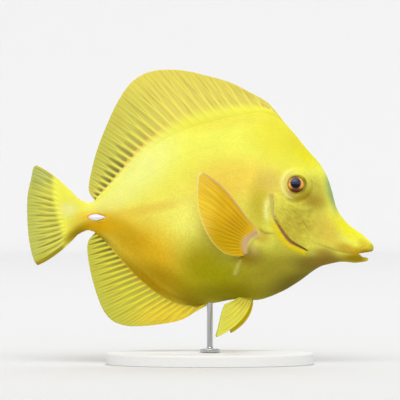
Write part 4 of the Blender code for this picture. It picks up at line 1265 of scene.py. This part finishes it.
def pelvic_blade(name, side, splay, swing, length):
    base, margin = evenly(PELVIC_BASE), evenly(PELVIC_MARGIN)
    pivot = np.array(PELVIC_BASE[0])
    turn = math.radians(swing)
    turned = np.array([[math.cos(turn), math.sin(turn)], [-math.sin(turn), math.cos(turn)]])

    def place(u, v):
        foot = base(u)
        bow = (4 * v * (1 - v) * (1 - u))[..., None] * np.array(PELVIC_BOW)
        seen = foot + (margin(u) - foot) * (v * length)[..., None] + bow
        out = PELVIC_ROOT_Y + splay * np.linalg.norm(seen - foot, axis=-1)
        return in_space(pivot + (seen - pivot) @ turned, side * out)

    return fin_blade(
        name, place, RAYS["pelvic"], 1, np.linspace(0, 1, 44), lambda u, out: sheath(out, 0.45, 0.15),
        lambda u: np.full(len(u), 0.06), (0.3, 0.2),
    )


paired = {}
for side_name, side in SIDES:
    paired["pectoral", side_name] = pectoral_blade(f"pectoral_blade_{side_name}", side)
    paired["pelvic", side_name] = pelvic_blade(
        f"pelvic_blade_{side_name}", side, *PELVIC_POSES[side_name]
    )

# %% [markdown]
# ## Colours of the fins
#
# The rays are bright yellow and the skin between them is thinner and more olive. Near the
# roots dark streaks lie between the rays, strongest at the rear. A second shader group reads
# the blade's flat map and gives masks for the rays, the dark streaks, fine streaks along the
# rays and the distance from the root. Every fin's material uses it with its own numbers.

# %% The group of ray masks
RAY_INPUTS = [
    ("Rays", 20.0), ("Streak Start", 0.0), ("Streak End", 0.65), ("Streak Width", 0.3),
    ("Streak Swell", 0.05), ("Streak Variety", 0.4),
]
RAY_OUTPUTS = ["Ray", "Streak", "Out", "Back", "Joints", "Fine"]
rays_group, rays_given, rays_end = new_tree(
    "ShaderNodeTree", "Fin rays",
    [(name, "Float", value) for name, value in RAY_INPUTS], [(name, "Float") for name in RAY_OUTPUTS],
)


def fill_rays_group(tree, given, end):
    def both(operation, first, second=0.0, third=0.0):
        return math_node(tree, operation, first, second, third)

    def apart(first, second):
        return both("ABSOLUTE", both("SUBTRACT", first, second))

    flat = add(tree, "ShaderNodeUVMap", uv_map="Rays").outputs[0]
    back, out = add(tree, "ShaderNodeSeparateXYZ", {0: flat}).outputs[:2]
    count = both("MULTIPLY", back, both("SUBTRACT", given["Rays"], 1.0))
    aside = apart(both("FRACT", both("ADD", count, 0.5)), 0.5)
    off = apart(aside, faded(tree, out, 0.2, 0.8, FIRST_SPLIT))
    off = apart(off, faded(tree, out, 0.45, 0.9, SECOND_SPLIT))
    wide = both("SUBTRACT", 0.2, faded(tree, out, 0.15, 0.7, 0.12))
    ray = faded(tree, off, wide, both("MULTIPLY", wide, 0.3))

    gap_number = both("FLOOR", count)
    own = add(tree, "ShaderNodeTexWhiteNoise", {"W": gap_number}, noise_dimensions="1D").outputs[0]
    begin = both("MULTIPLY_ADD", own, 0.07, given["Streak Start"])
    finish = both("MULTIPLY_ADD", own, -0.15, given["Streak End"])
    reach = {"Value": out, "From Min": begin, "From Max": finish}
    along_streak = add(tree, "ShaderNodeMapRange", reach).outputs[0]
    narrowing = both("POWER", both("SUBTRACT", 1.0, along_streak), 0.45)
    swelling = faded(tree, along_streak, 0.0, given["Streak Swell"])
    streak_width = both("MULTIPLY", both("MULTIPLY", narrowing, swelling), given["Streak Width"])
    inside = both("SUBTRACT", 0.5, aside)
    streak = faded(tree, inside, both("ADD", streak_width, 0.02), both("MULTIPLY", streak_width, 0.35))
    fade = both("MULTIPLY_ADD", along_streak, -0.5, 1.0)
    strength = both("SUBTRACT", 1.0, both("MULTIPLY", own, given["Streak Variety"]))
    present = faded(tree, streak_width, 0.0, 0.06)
    streak = both("MULTIPLY", both("MULTIPLY", streak, fade), both("MULTIPLY", strength, present))

    stretched = {"X": both("MULTIPLY", count, 4.0), "Y": both("MULTIPLY", out, 2.0)}
    fine = grain(tree, add(tree, "ShaderNodeCombineXYZ", stretched).outputs[0], 1.0, 3.0)
    joints = both("SINE", both("MULTIPLY_ADD", out, 150.0, both("MULTIPLY", fine, 9.0)))
    for socket, value in zip(end, (ray, streak, out, back, joints, fine)):
        tree.links.new(value, socket)


fill_rays_group(rays_group, rays_given, rays_end)
print("fin rays group:", len(rays_group.nodes), "nodes")

# %% Fin materials
FIN = dict(
    Subsurface_Weight=0.15, Subsurface_Radius=(1.0, 0.8, 0.2), Subsurface_Scale=0.8 * MM,
    Coat_Weight=0.005, Coat_Roughness=0.3, Specular_IOR_Level=0.05,
)
GOLDEN_WEB, RAY_YELLOW = (222, 208, 98), (242, 235, 100)
OLIVE, EDGE_OLIVE = (184, 184, 80), (180, 184, 78)
STREAK, BROWN = (82, 84, 44), (184, 156, 72)
# of the rim, the first ray and the last: which mask, from where to where, and how strongly
EDGE_MASKS = ("Out", 0.97, 0.985, 0.7), ("Back", 0.035, 0.01, 0.8), ("Back", 0.93, 0.985, 0.9)
# painted shade: the body's colours are darkened by this much at a fin's root
ROOT_SHADE = 0.9  # a flat blade catches more light than the round body beside it
ROOT_ORANGE, MAUVE = (240, 190, 84), (216, 180, 136)


def fin_material(
    name, fin, web, ray, edge, fine, streak, shape, dark, root=None, reach=(0.08, 0.08),
    dash=0.0, rim=None, lead=None, trail=None, patches=(),
):
    """A fin's material.

    ray and fine are the colours of the rays and of the fine lines, with their strengths. edge is
    the margin's colour, and where it begins. shape is the streaks' start, end, width, swell and
    variety. dark is their strength at the front and at the rear, and the two shares of the fin
    between which it rises. reach is how far out the root's colour reaches at the first rays and at
    the others. rim, lead and trail are colours of the margin, the first ray and the last.
    """
    made, tree, shader = new_material(name, 0.46, **FIN)
    numbers = dict(zip([name for name, _ in RAY_INPUTS], (float(RAYS[fin]), *shape)))
    masks = use_group(tree, rays_group, numbers).outputs
    place = own_place(tree)

    def where(mask, low, high, top=1.0):
        return faded(tree, masks[mask], low, high, top)

    shade = mix(tree, where("Out", edge[1], 1.0, 0.85), web, edge[0])
    for *oval, tint, amount in patches:
        shade = patched(tree, place, shade, oval, tint, amount)
    shade = mix(tree, where("Fine", 0.48, 0.64, fine[1]), shade, fine[0])
    ray_share = math_node(tree, "SUBTRACT", ray[1], where("Out", 0.2, 0.9, ray[1] * 0.6))
    shade = mix(tree, times(tree, masks["Ray"], ray_share), shade, ray[0])
    if dash:
        near = times(tree, where("Ray", 0.6, 0.1, dash), where("Out", 0.26, 0.1))
        shade = mix(tree, times(tree, near, where("Back", 0.3, 0.5)), shade, ROOT_ORANGE)
    front, rear, low, high = dark
    darkness = math_node(tree, "ADD", where("Back", low, high, rear - front), front)
    shade = mix(tree, times(tree, masks["Streak"], darkness), shade, streak)
    for tint, mask in zip((rim, lead, trail), EDGE_MASKS):
        if tint:
            shade = mix(tree, where(*mask), shade, tint)
    first, others = reach
    root_reach = math_node(tree, "SUBTRACT", first, where("Back", 0.1, 0.7, first - others))
    # painted shade on the body's colours where the blade leaves the body
    tone = add(tree, "ShaderNodeValue").outputs[0]
    tone.default_value = ROOT_SHADE
    body = mix(tree, 1.0, use_group(tree, markings_and_shade).outputs[0], tone, "MULTIPLY")
    root_share = where("Out", root_reach, times(tree, root_reach, 0.2))
    shade = mix(tree, root_share, shade, root or body)
    joint = times(tree, masks["Joints"], masks["Ray"])
    bumps = math_node(tree, "MULTIPLY_ADD", joint, 0.3, grain(tree, place, 900.0))
    painted(tree, shader, shade, bumps, 0.4, 0.08)
    return made


# %% Each fin's look
dorsal_look = fin_material(
    "dorsal_yellow", "dorsal", web=GOLDEN_WEB, ray=(RAY_YELLOW, 0.75), edge=((222, 208, 92), 0.5),
    fine=(BROWN, 0.42), streak=STREAK, shape=(0.08, 0.62, 0.42, 0.16, 0.3),
    dark=(0.0, 0.95, 0.4, 0.8), reach=(0.36, 0.14), dash=0.5,
    patches=[(-50, 106, 22, 44, -16, OLIVE, 0.95), (-36, 122, 22, 22, 0, (198, 194, 86), 0.75)],
)
anal_look = fin_material(
    "anal_yellow", "anal", web=(195, 190, 72), ray=((240, 230, 50), 0.85), edge=(EDGE_OLIVE, 0.45),
    fine=((176, 150, 50), 0.45), streak=STREAK, shape=(-0.02, 0.92, 0.34, 0.05, 0.3),
    dark=(0.1, 0.92, 0.3, 0.85), reach=(0.06, 0.06), dash=0.2,
    patches=[(-14, 25, 28, 12, 6, (230, 200, 62), 0.95)],
)
caudal_look = fin_material(
    "caudal_yellow", "caudal", web=(208, 204, 86), ray=((230, 224, 90), 0.7),
    edge=((178, 184, 92), 0.3), fine=((140, 144, 66), 0.5), streak=(92, 98, 40),
    shape=(0.0, 0.85, 0.32, 0.45, 0.6), dark=(0.25, 1.0, 0.15, 0.45), reach=(0.3, 0.2),
    # the dark last ray along the tail's lower edge is painted shade
    lead=(206, 190, 60), trail=(146, 126, 8),
    patches=[(-79, 96, 12, 10, 0, (170, 182, 106), 0.85), (-76, 52, 14, 8, 30, (186, 186, 62), 0.7)],
)
pectoral_look = fin_material(
    "pectoral_gold", "pectoral", web=(226, 182, 30), ray=((234, 190, 36), 0.5),
    edge=((240, 204, 78), 0.6), fine=((190, 142, 16), 0.4), streak=(176, 124, 10),
    shape=(0.1, 0.95, 0.18, 0.3, 0.5), dark=(0.5, 0.5, 0.0, 1.0), reach=(0.05, 0.16),
    root=MAUVE, rim=(247, 242, 150), lead=(202, 156, 120),
    patches=[
        (12, 62, 19, 14, 10, (192, 156, 0), 0.9), (18, 70, 9, 9, 0, (196, 148, 10), 0.7),
        (3, 82, 9, 12, 0, (250, 214, 58), 0.85),
    ],
)
pelvic_look = fin_material(
    "pelvic_yellow", "pelvic", web=(212, 206, 72), ray=((232, 222, 84), 0.6),
    edge=((202, 206, 78), 0.6), fine=((196, 176, 70), 0.5), streak=(176, 160, 62),
    shape=(0.1, 0.95, 0.2, 0.3, 0.4), dark=(0.4, 0.6, 0.0, 1.0), rim=(150, 160, 52),
    patches=[(22, 31.5, 9, 5, 0, (176, 160, 40), 0.7)],
)
# painted shade: the far pelvic fin gets a darker, deeper yellow copy of the near fin's colours
shaded_pelvic_look = fin_material(
    "pelvic_deep_yellow", "pelvic", web=(214, 188, 10), ray=((232, 212, 12), 0.7),
    edge=((206, 182, 12), 0.6), fine=((180, 150, 10), 0.5), streak=(150, 120, 6),
    shape=(0.1, 0.95, 0.28, 0.3, 0.3), dark=(0.7, 0.7, 0.0, 1.0), rim=(150, 136, 10),
    patches=[(22, 31.5, 9, 5, 0, (166, 140, 20), 0.9)],
)
FIN_LOOKS = [
    (dorsal, dorsal_look, "dorsal_fin"),
    (anal, anal_look, "anal_fin"),
    (caudal, caudal_look, "caudal_fin"),
    (paired["pectoral", "left"], pectoral_look, "pectoral_fin_left"),
    (paired["pectoral", "right"], pectoral_look, "pectoral_fin_right"),
    (paired["pelvic", "left"], shaded_pelvic_look, "pelvic_fin_left"),
    (paired["pelvic", "right"], pelvic_look, "pelvic_fin_right"),
]
for blade, look, node in FIN_LOOKS:
    on_frame(blade, look, "fin", node)
print("fins:", [blade.name for blade, _, _ in FIN_LOOKS])

# %% [markdown]
# ## Eyes
#
# A tang's eye is a low dome, set deep in the head. The iris is orange-brown, with a dark rim,
# and its lower part is darkened as painted shade. The pupil is black, with a painted reflection
# that makes its upper part blue-grey. The whole eye has a clear wet layer over it.

# %% Eyes
EYE_RADII, EYE_DEPTH = (5.4, 3.9, 5.4), 2.8  # mm: half sizes, and the middle's depth in the flank
PUPIL = (-0.35, 0.6)  # forward and up from the eye's middle
PUPIL_WIDTH, PUPIL_HEIGHT, IRIS = 2.55, 2.75, 4.1


def on_flank(place, depth):
    """A point under the left flank in mm, and the outward normal there."""
    x, z = place
    step = 0.5
    slope_x = float(flank(x + step, z) - flank(x - step, z)) / (2 * step)
    slope_z = float(flank(x, z + step) - flank(x, z - step)) / (2 * step)
    normal = Vector((-slope_x, 1, -slope_z)).normalized()
    return Vector((x, float(flank(x, z)), z)) - normal * depth, normal


def set_in_flank(name, side, place, depth, fineness, shape, marks):
    """A ball drawn by shape(), set in the flank. On the right side it is the left one's mirror."""
    centre, normal = on_flank(place, depth)
    turn = Vector((0, 1, 0)).rotation_difference(normal)
    bm = bmesh.new()
    bmesh.ops.create_uvsphere(bm, u_segments=fineness[0], v_segments=fineness[1], radius=1)
    bm.verts.index_update()
    faces = [[vert.index for vert in face.verts] for face in bm.faces]
    spots = [shape(Vector((vert.co.x, vert.co.z, vert.co.y))) for vert in bm.verts]
    bm.free()
    found = {mark_name: [measure(spot) for spot in spots] for mark_name, measure in marks.items()}
    points = np.array([turn @ spot + centre for spot in spots]) * (1, side, 1)
    return outward_faces(mesh_object(name, points, faces, found))


def eye_shape(spot):
    return Vector([a * b for a, b in zip(spot, EYE_RADII)])


EYE_MARKS = {
    "from_middle": lambda spot: math.hypot(spot.x, spot.z) if spot.y > 0 else EYE_RADII[0],
    "ahead": lambda spot: spot.x - PUPIL[0],
    "above": lambda spot: spot.z - PUPIL[1],
}


def eye_material():
    made, tree, shader = new_material(
        "tang_eye", 0.15, Coat_Weight=0.3, Coat_Roughness=0.04, Specular_IOR_Level=0.15
    )
    reach, ahead, above = (mark(tree, name) for name in EYE_MARKS)
    flecks = grain(tree, own_place(tree), 1300.0, 3.0)
    across = math_node(tree, "DIVIDE", ahead, PUPIL_WIDTH)
    upward = math_node(tree, "DIVIDE", above, PUPIL_HEIGHT)
    pupil = hypotenuse(tree, across, upward)
    shade = mix(tree, faded(tree, flecks, 0.3, 0.7), (232, 156, 44), (255, 196, 96))
    shade = mix(tree, faded(tree, above, 2.0, 2.9, 0.8), shade, (168, 108, 66))
    # painted shade: the iris darkens to brown and dark red below the pupil
    shade = mix(tree, faded(tree, above, -1.2, -3.4, 0.95), shade, (112, 60, 6))
    middle = faded(tree, math_node(tree, "ABSOLUTE", ahead), 2.6, 1.2)
    under = times(tree, faded(tree, above, -2.2, -3.4), middle)
    shade = mix(tree, under, shade, (96, 34, 4))
    shade = mix(tree, faded(tree, pupil, 1.2, 1.04, 0.6), shade, (110, 74, 58))
    # painted reflection: the pupil's upper part is blue-grey over black
    deep = mix(tree, faded(tree, above, -0.9, -0.3), (3, 3, 4), (48, 56, 80))
    shade = mix(tree, faded(tree, pupil, 1.04, 0.97), shade, deep)
    shade = mix(tree, faded(tree, reach, IRIS - 0.35, IRIS + 0.1, 0.9), shade, (130, 106, 26))
    painted(tree, shader, shade)
    return made


eye_look = eye_material()
for side_name, side in SIDES:
    ball = set_in_flank(f"eyeball_{side_name}", side, EYE, EYE_DEPTH, (96, 64), eye_shape, EYE_MARKS)
    on_frame(ball, eye_look, "eye", f"eye_{side_name}")
print("eyes set", EYE_DEPTH, "mm under the flank")

# %% [markdown]
# ## Tail spines
#
# On each side of the tail base lies a white spine, sharp in front, which folds into a groove.

# %% Tail spines
SPINE_DEPTH, SPINE_TAPER, SPINE_KEEL = 0.2, 0.55, 0.25


def spine_shape(spot):
    ahead = max(0.0, spot.x)
    keel = 1 + SPINE_KEEL * max(0.0, 1 - abs(spot.z) * 3)
    length, thickness, height = TAIL_SPINE_RADII
    narrowed = height * (1 - SPINE_TAPER * ahead)
    return Vector((spot.x * length, spot.y * thickness * keel, spot.z * narrowed))


def streaky(name, roughness, grains, tints, relief, detail=2.0, **settings):
    """A material with grain of this many to the metre each way, which tints and roughens it."""
    made, tree, shader = new_material(name, roughness, **settings)
    stretched = add(tree, "ShaderNodeMapping", {"Vector": own_place(tree), "Scale": grains})
    lines = grain(tree, stretched.outputs[0], 1.0, detail)
    painted(tree, shader, mix(tree, lines, *tints), lines, *relief)
    return made, tree, shader, lines


SPINE_TINTS = (250, 246, 250), (222, 214, 226)
spine_look, *_ = streaky(
    "spine_white", 0.4, (250.0, 1800.0, 1800.0), SPINE_TINTS, (0.2, 0.05), Specular_IOR_Level=0.3
)
for side_name, side in SIDES:
    spine = set_in_flank(f"spine_{side_name}", side, TAIL_SPINE, SPINE_DEPTH, (48, 32), spine_shape, {})
    on_frame(spine, spine_look, "spine", f"tail_spine_{side_name}")
print("tail spines at x and z", TAIL_SPINE, "mm")

# %% [markdown]
# ## The stand
#
# The base is a thin plate with a satin powder coat, which shows as a very fine orange peel. The
# rod is drawn steel, brushed along its length. Both are turned or rounded more finely than the
# solids they stand for.

# %% Stand
ROD_X, ROD_TOP = 4.8, 30.95
BASE_RADII, BASE_HEIGHT, BASE_ROUNDING, BASE_LOWER_EDGE = (52.0, 30.0), 6.0, 1.2, 0.4
ROD_RADIUS, ROD_FOOT_RADIUS, ROD_FOOT_HEIGHT = 1.5, 5.0, 1.6
ROD_FILLET, ROD_FOOT_EDGE, GAP = 1.2, 0.4, 0.3
ROD_END_RADIUS = 0.01  # mm, not 0, so that the points at the middle of the rod's ends stay apart


def turned(name, profile, stretch, centre_x, steps):
    """A profile of radius and height in mm, turned about the upright axis at centre_x."""
    angles = np.linspace(0, 2 * math.pi, steps, endpoint=False)
    radius, height = np.transpose(profile)
    x = np.cos(angles) * radius[:, None] + np.cos(angles) * stretch[0]
    y = np.sin(angles) * radius[:, None] + np.sin(angles) * stretch[1]
    made = mesh_object(name, *closed_tube(joined(x + centre_x, y, height[:, None])))
    outward_faces(made)
    made.data.set_sharp_from_angle(angle=math.radians(35))
    return made


def arc(centre, radius, first, last, steps=8):
    """Points of an arc in a profile, from one angle in degrees to another."""
    angles = np.radians(np.linspace(first, last, steps))
    return [(centre[0] + radius * math.cos(a), centre[1] + radius * math.sin(a)) for a in angles]


# the base's profile counts its radii from the oval's edge, and starts and ends well inside it
base_profile = [(-BASE_RADII[0] * 0.5, 0), (-BASE_LOWER_EDGE, 0), (0, BASE_LOWER_EDGE)]
base_profile += arc((-BASE_ROUNDING, BASE_HEIGHT - BASE_ROUNDING), BASE_ROUNDING, 0, 90)
base_profile += [(-BASE_RADII[1] * 0.5, BASE_HEIGHT)]
base_plate = turned("base_plate", base_profile, BASE_RADII, ROD_X, 160)
rod_foot = BASE_HEIGHT + GAP
shoulder = rod_foot + ROD_FOOT_HEIGHT
rod_profile = [(ROD_END_RADIUS, rod_foot), (ROD_FOOT_RADIUS, rod_foot)]
rod_profile += arc((ROD_FOOT_RADIUS - ROD_FOOT_EDGE, shoulder - ROD_FOOT_EDGE), ROD_FOOT_EDGE, 0, 90)
rod_profile += arc((ROD_RADIUS + ROD_FILLET, shoulder + ROD_FILLET), ROD_FILLET, 270, 180)
rod_profile += [(ROD_RADIUS, ROD_TOP), (ROD_END_RADIUS, ROD_TOP)]
rod = turned("rod", rod_profile, (0, 0), ROD_X, 64)
print("base and rod:", len(base_plate.data.polygons), "and", len(rod.data.polygons), "faces")

# %% Materials of the stand
COAT_TINTS = (226, 226, 224), (236, 236, 234)
coat_look, *_ = streaky(
    "powder_coat", 0.5, (1600.0, 1600.0, 1600.0), COAT_TINTS, (0.25, 0.05), 1.0, Specular_IOR_Level=0.45
)
STEEL_TINTS = (188, 190, 192), (214, 215, 216)
steel_look, tree, shader, brush = streaky(
    "brushed_steel", 0.3, (6000.0, 6000.0, 60.0), STEEL_TINTS, (0.15, 0.03), Metallic=1.0
)
tree.links.new(faded(tree, brush, 0.0, 1.0, 0.45), shader.inputs["Roughness"])
on_frame(base_plate, coat_look, "base", "stand_base")
on_frame(rod, steel_look, "rod", "stand_rod")
print("stand:", coat_look.name, "and", steel_look.name)

# %% [markdown]
# ## Floor, light and camera
#
# The floor is a wide shallow bowl, so that floor and background are one pale surface from every
# side and no camera looks through a wall. Two wide soft lights come from above and in front, so
# that no fin throws a hard shadow. A weaker one comes from behind, for the far side, and an even
# sky fills what is left. The camera stands level with the fish's middle, far off with a long
# lens, as in the photo.

# %% Floor
FLOOR_RADIUS, FLOOR_REACH = 3.2, 4.6  # metres from the middle to where the rim begins and ends
FLOOR_RISE = 1.6  # how steeply the rim curves up


def studio_floor():
    """A disc with its middle closed by one face, and a rim that curves up."""
    radii = np.append(np.linspace(FLOOR_REACH, 2.2, 24), [2.0, 1.0, 0.4, 0.02])[:, None]
    angles = np.linspace(0, 2 * math.pi, 96, endpoint=False)
    heights = np.maximum(radii - FLOOR_RADIUS, 0) ** 2 * FLOOR_RISE
    grid = joined(np.cos(angles) * radii, np.sin(angles) * radii, heights)
    index, faces = tube_faces(*grid.shape[:2])
    return mesh_object("studio_floor", grid.reshape(-1, 3) / MM, faces + [tuple(index[-1])])


floor = studio_floor()
floor_look, tree, shader = new_material("pale_floor", 0.85, Specular_IOR_Level=0.0)
place = own_place(tree)
x_out, y_out, _ = add(tree, "ShaderNodeSeparateXYZ", {0: place}).outputs
far_out = hypotenuse(tree, x_out, y_out)
shade = mix(tree, grain(tree, place, 3.0), (222, 222, 222), (224, 224, 224))
# the rim throws light on the floor near it, and faces the lights more itself
shade = mix(tree, faded(tree, far_out, 0.0, 3.4), shade, (213, 213, 213))
shade = mix(tree, faded(tree, far_out, 3.25, 3.45), shade, (210, 210, 210))
painted(tree, shader, shade)
floor.data.materials.append(floor_look)
print("floor:", len(floor.data.polygons), "faces, out to", FLOOR_REACH, "m")

# %% Light
SKY_STRENGTH = 0.6
scene = bpy.context.scene
scene.world = bpy.data.worlds.new("studio")
scene.world.use_nodes = True
sky = scene.world.node_tree.nodes["Background"].inputs
sky["Color"].default_value, sky["Strength"].default_value = (1, 1, 1, 1), SKY_STRENGTH


def soft_sun(name, towards, strength, angle):
    """A far, wide light, which lights the floor evenly and leaves soft shadows."""
    lamp = in_scene(name, bpy.data.lights.new(name, "SUN"))
    lamp.data.energy, lamp.data.angle = strength, math.radians(angle)
    lamp.rotation_euler = Vector(towards).to_track_quat("Z", "Y").to_euler()


soft_sun("key", (0.14, -0.85, 1.0), 1.62, 48)
soft_sun("fill", (-0.35, -0.9, 0.75), 0.97, 60)
soft_sun("back", (0.25, 0.9, 0.75), 0.8, 70)  # for the far side

# %% Camera
PICTURE_MM = 200.0  # the photo's width on the fish's middle plane
PICTURE_CENTRE = (-0.125 * MM, 82.25 * MM)
CAMERA_DISTANCE, SENSOR = 1.5, 36.0
CLIP_NEAR, CLIP_FAR = 0.05, 100
camera = in_scene("camera", bpy.data.cameras.new("camera"))
camera.data.sensor_width = SENSOR
camera.data.lens = SENSOR * CAMERA_DISTANCE / (PICTURE_MM * MM)
camera.data.clip_start, camera.data.clip_end = CLIP_NEAR, CLIP_FAR
camera.location = (PICTURE_CENTRE[0], -CAMERA_DISTANCE, PICTURE_CENTRE[1])
camera.rotation_euler = (math.pi / 2, 0, 0)
scene.camera = camera
scene.view_settings.view_transform = "Standard"
print("camera", CAMERA_DISTANCE, "m away, lens", camera.data.lens, "mm")
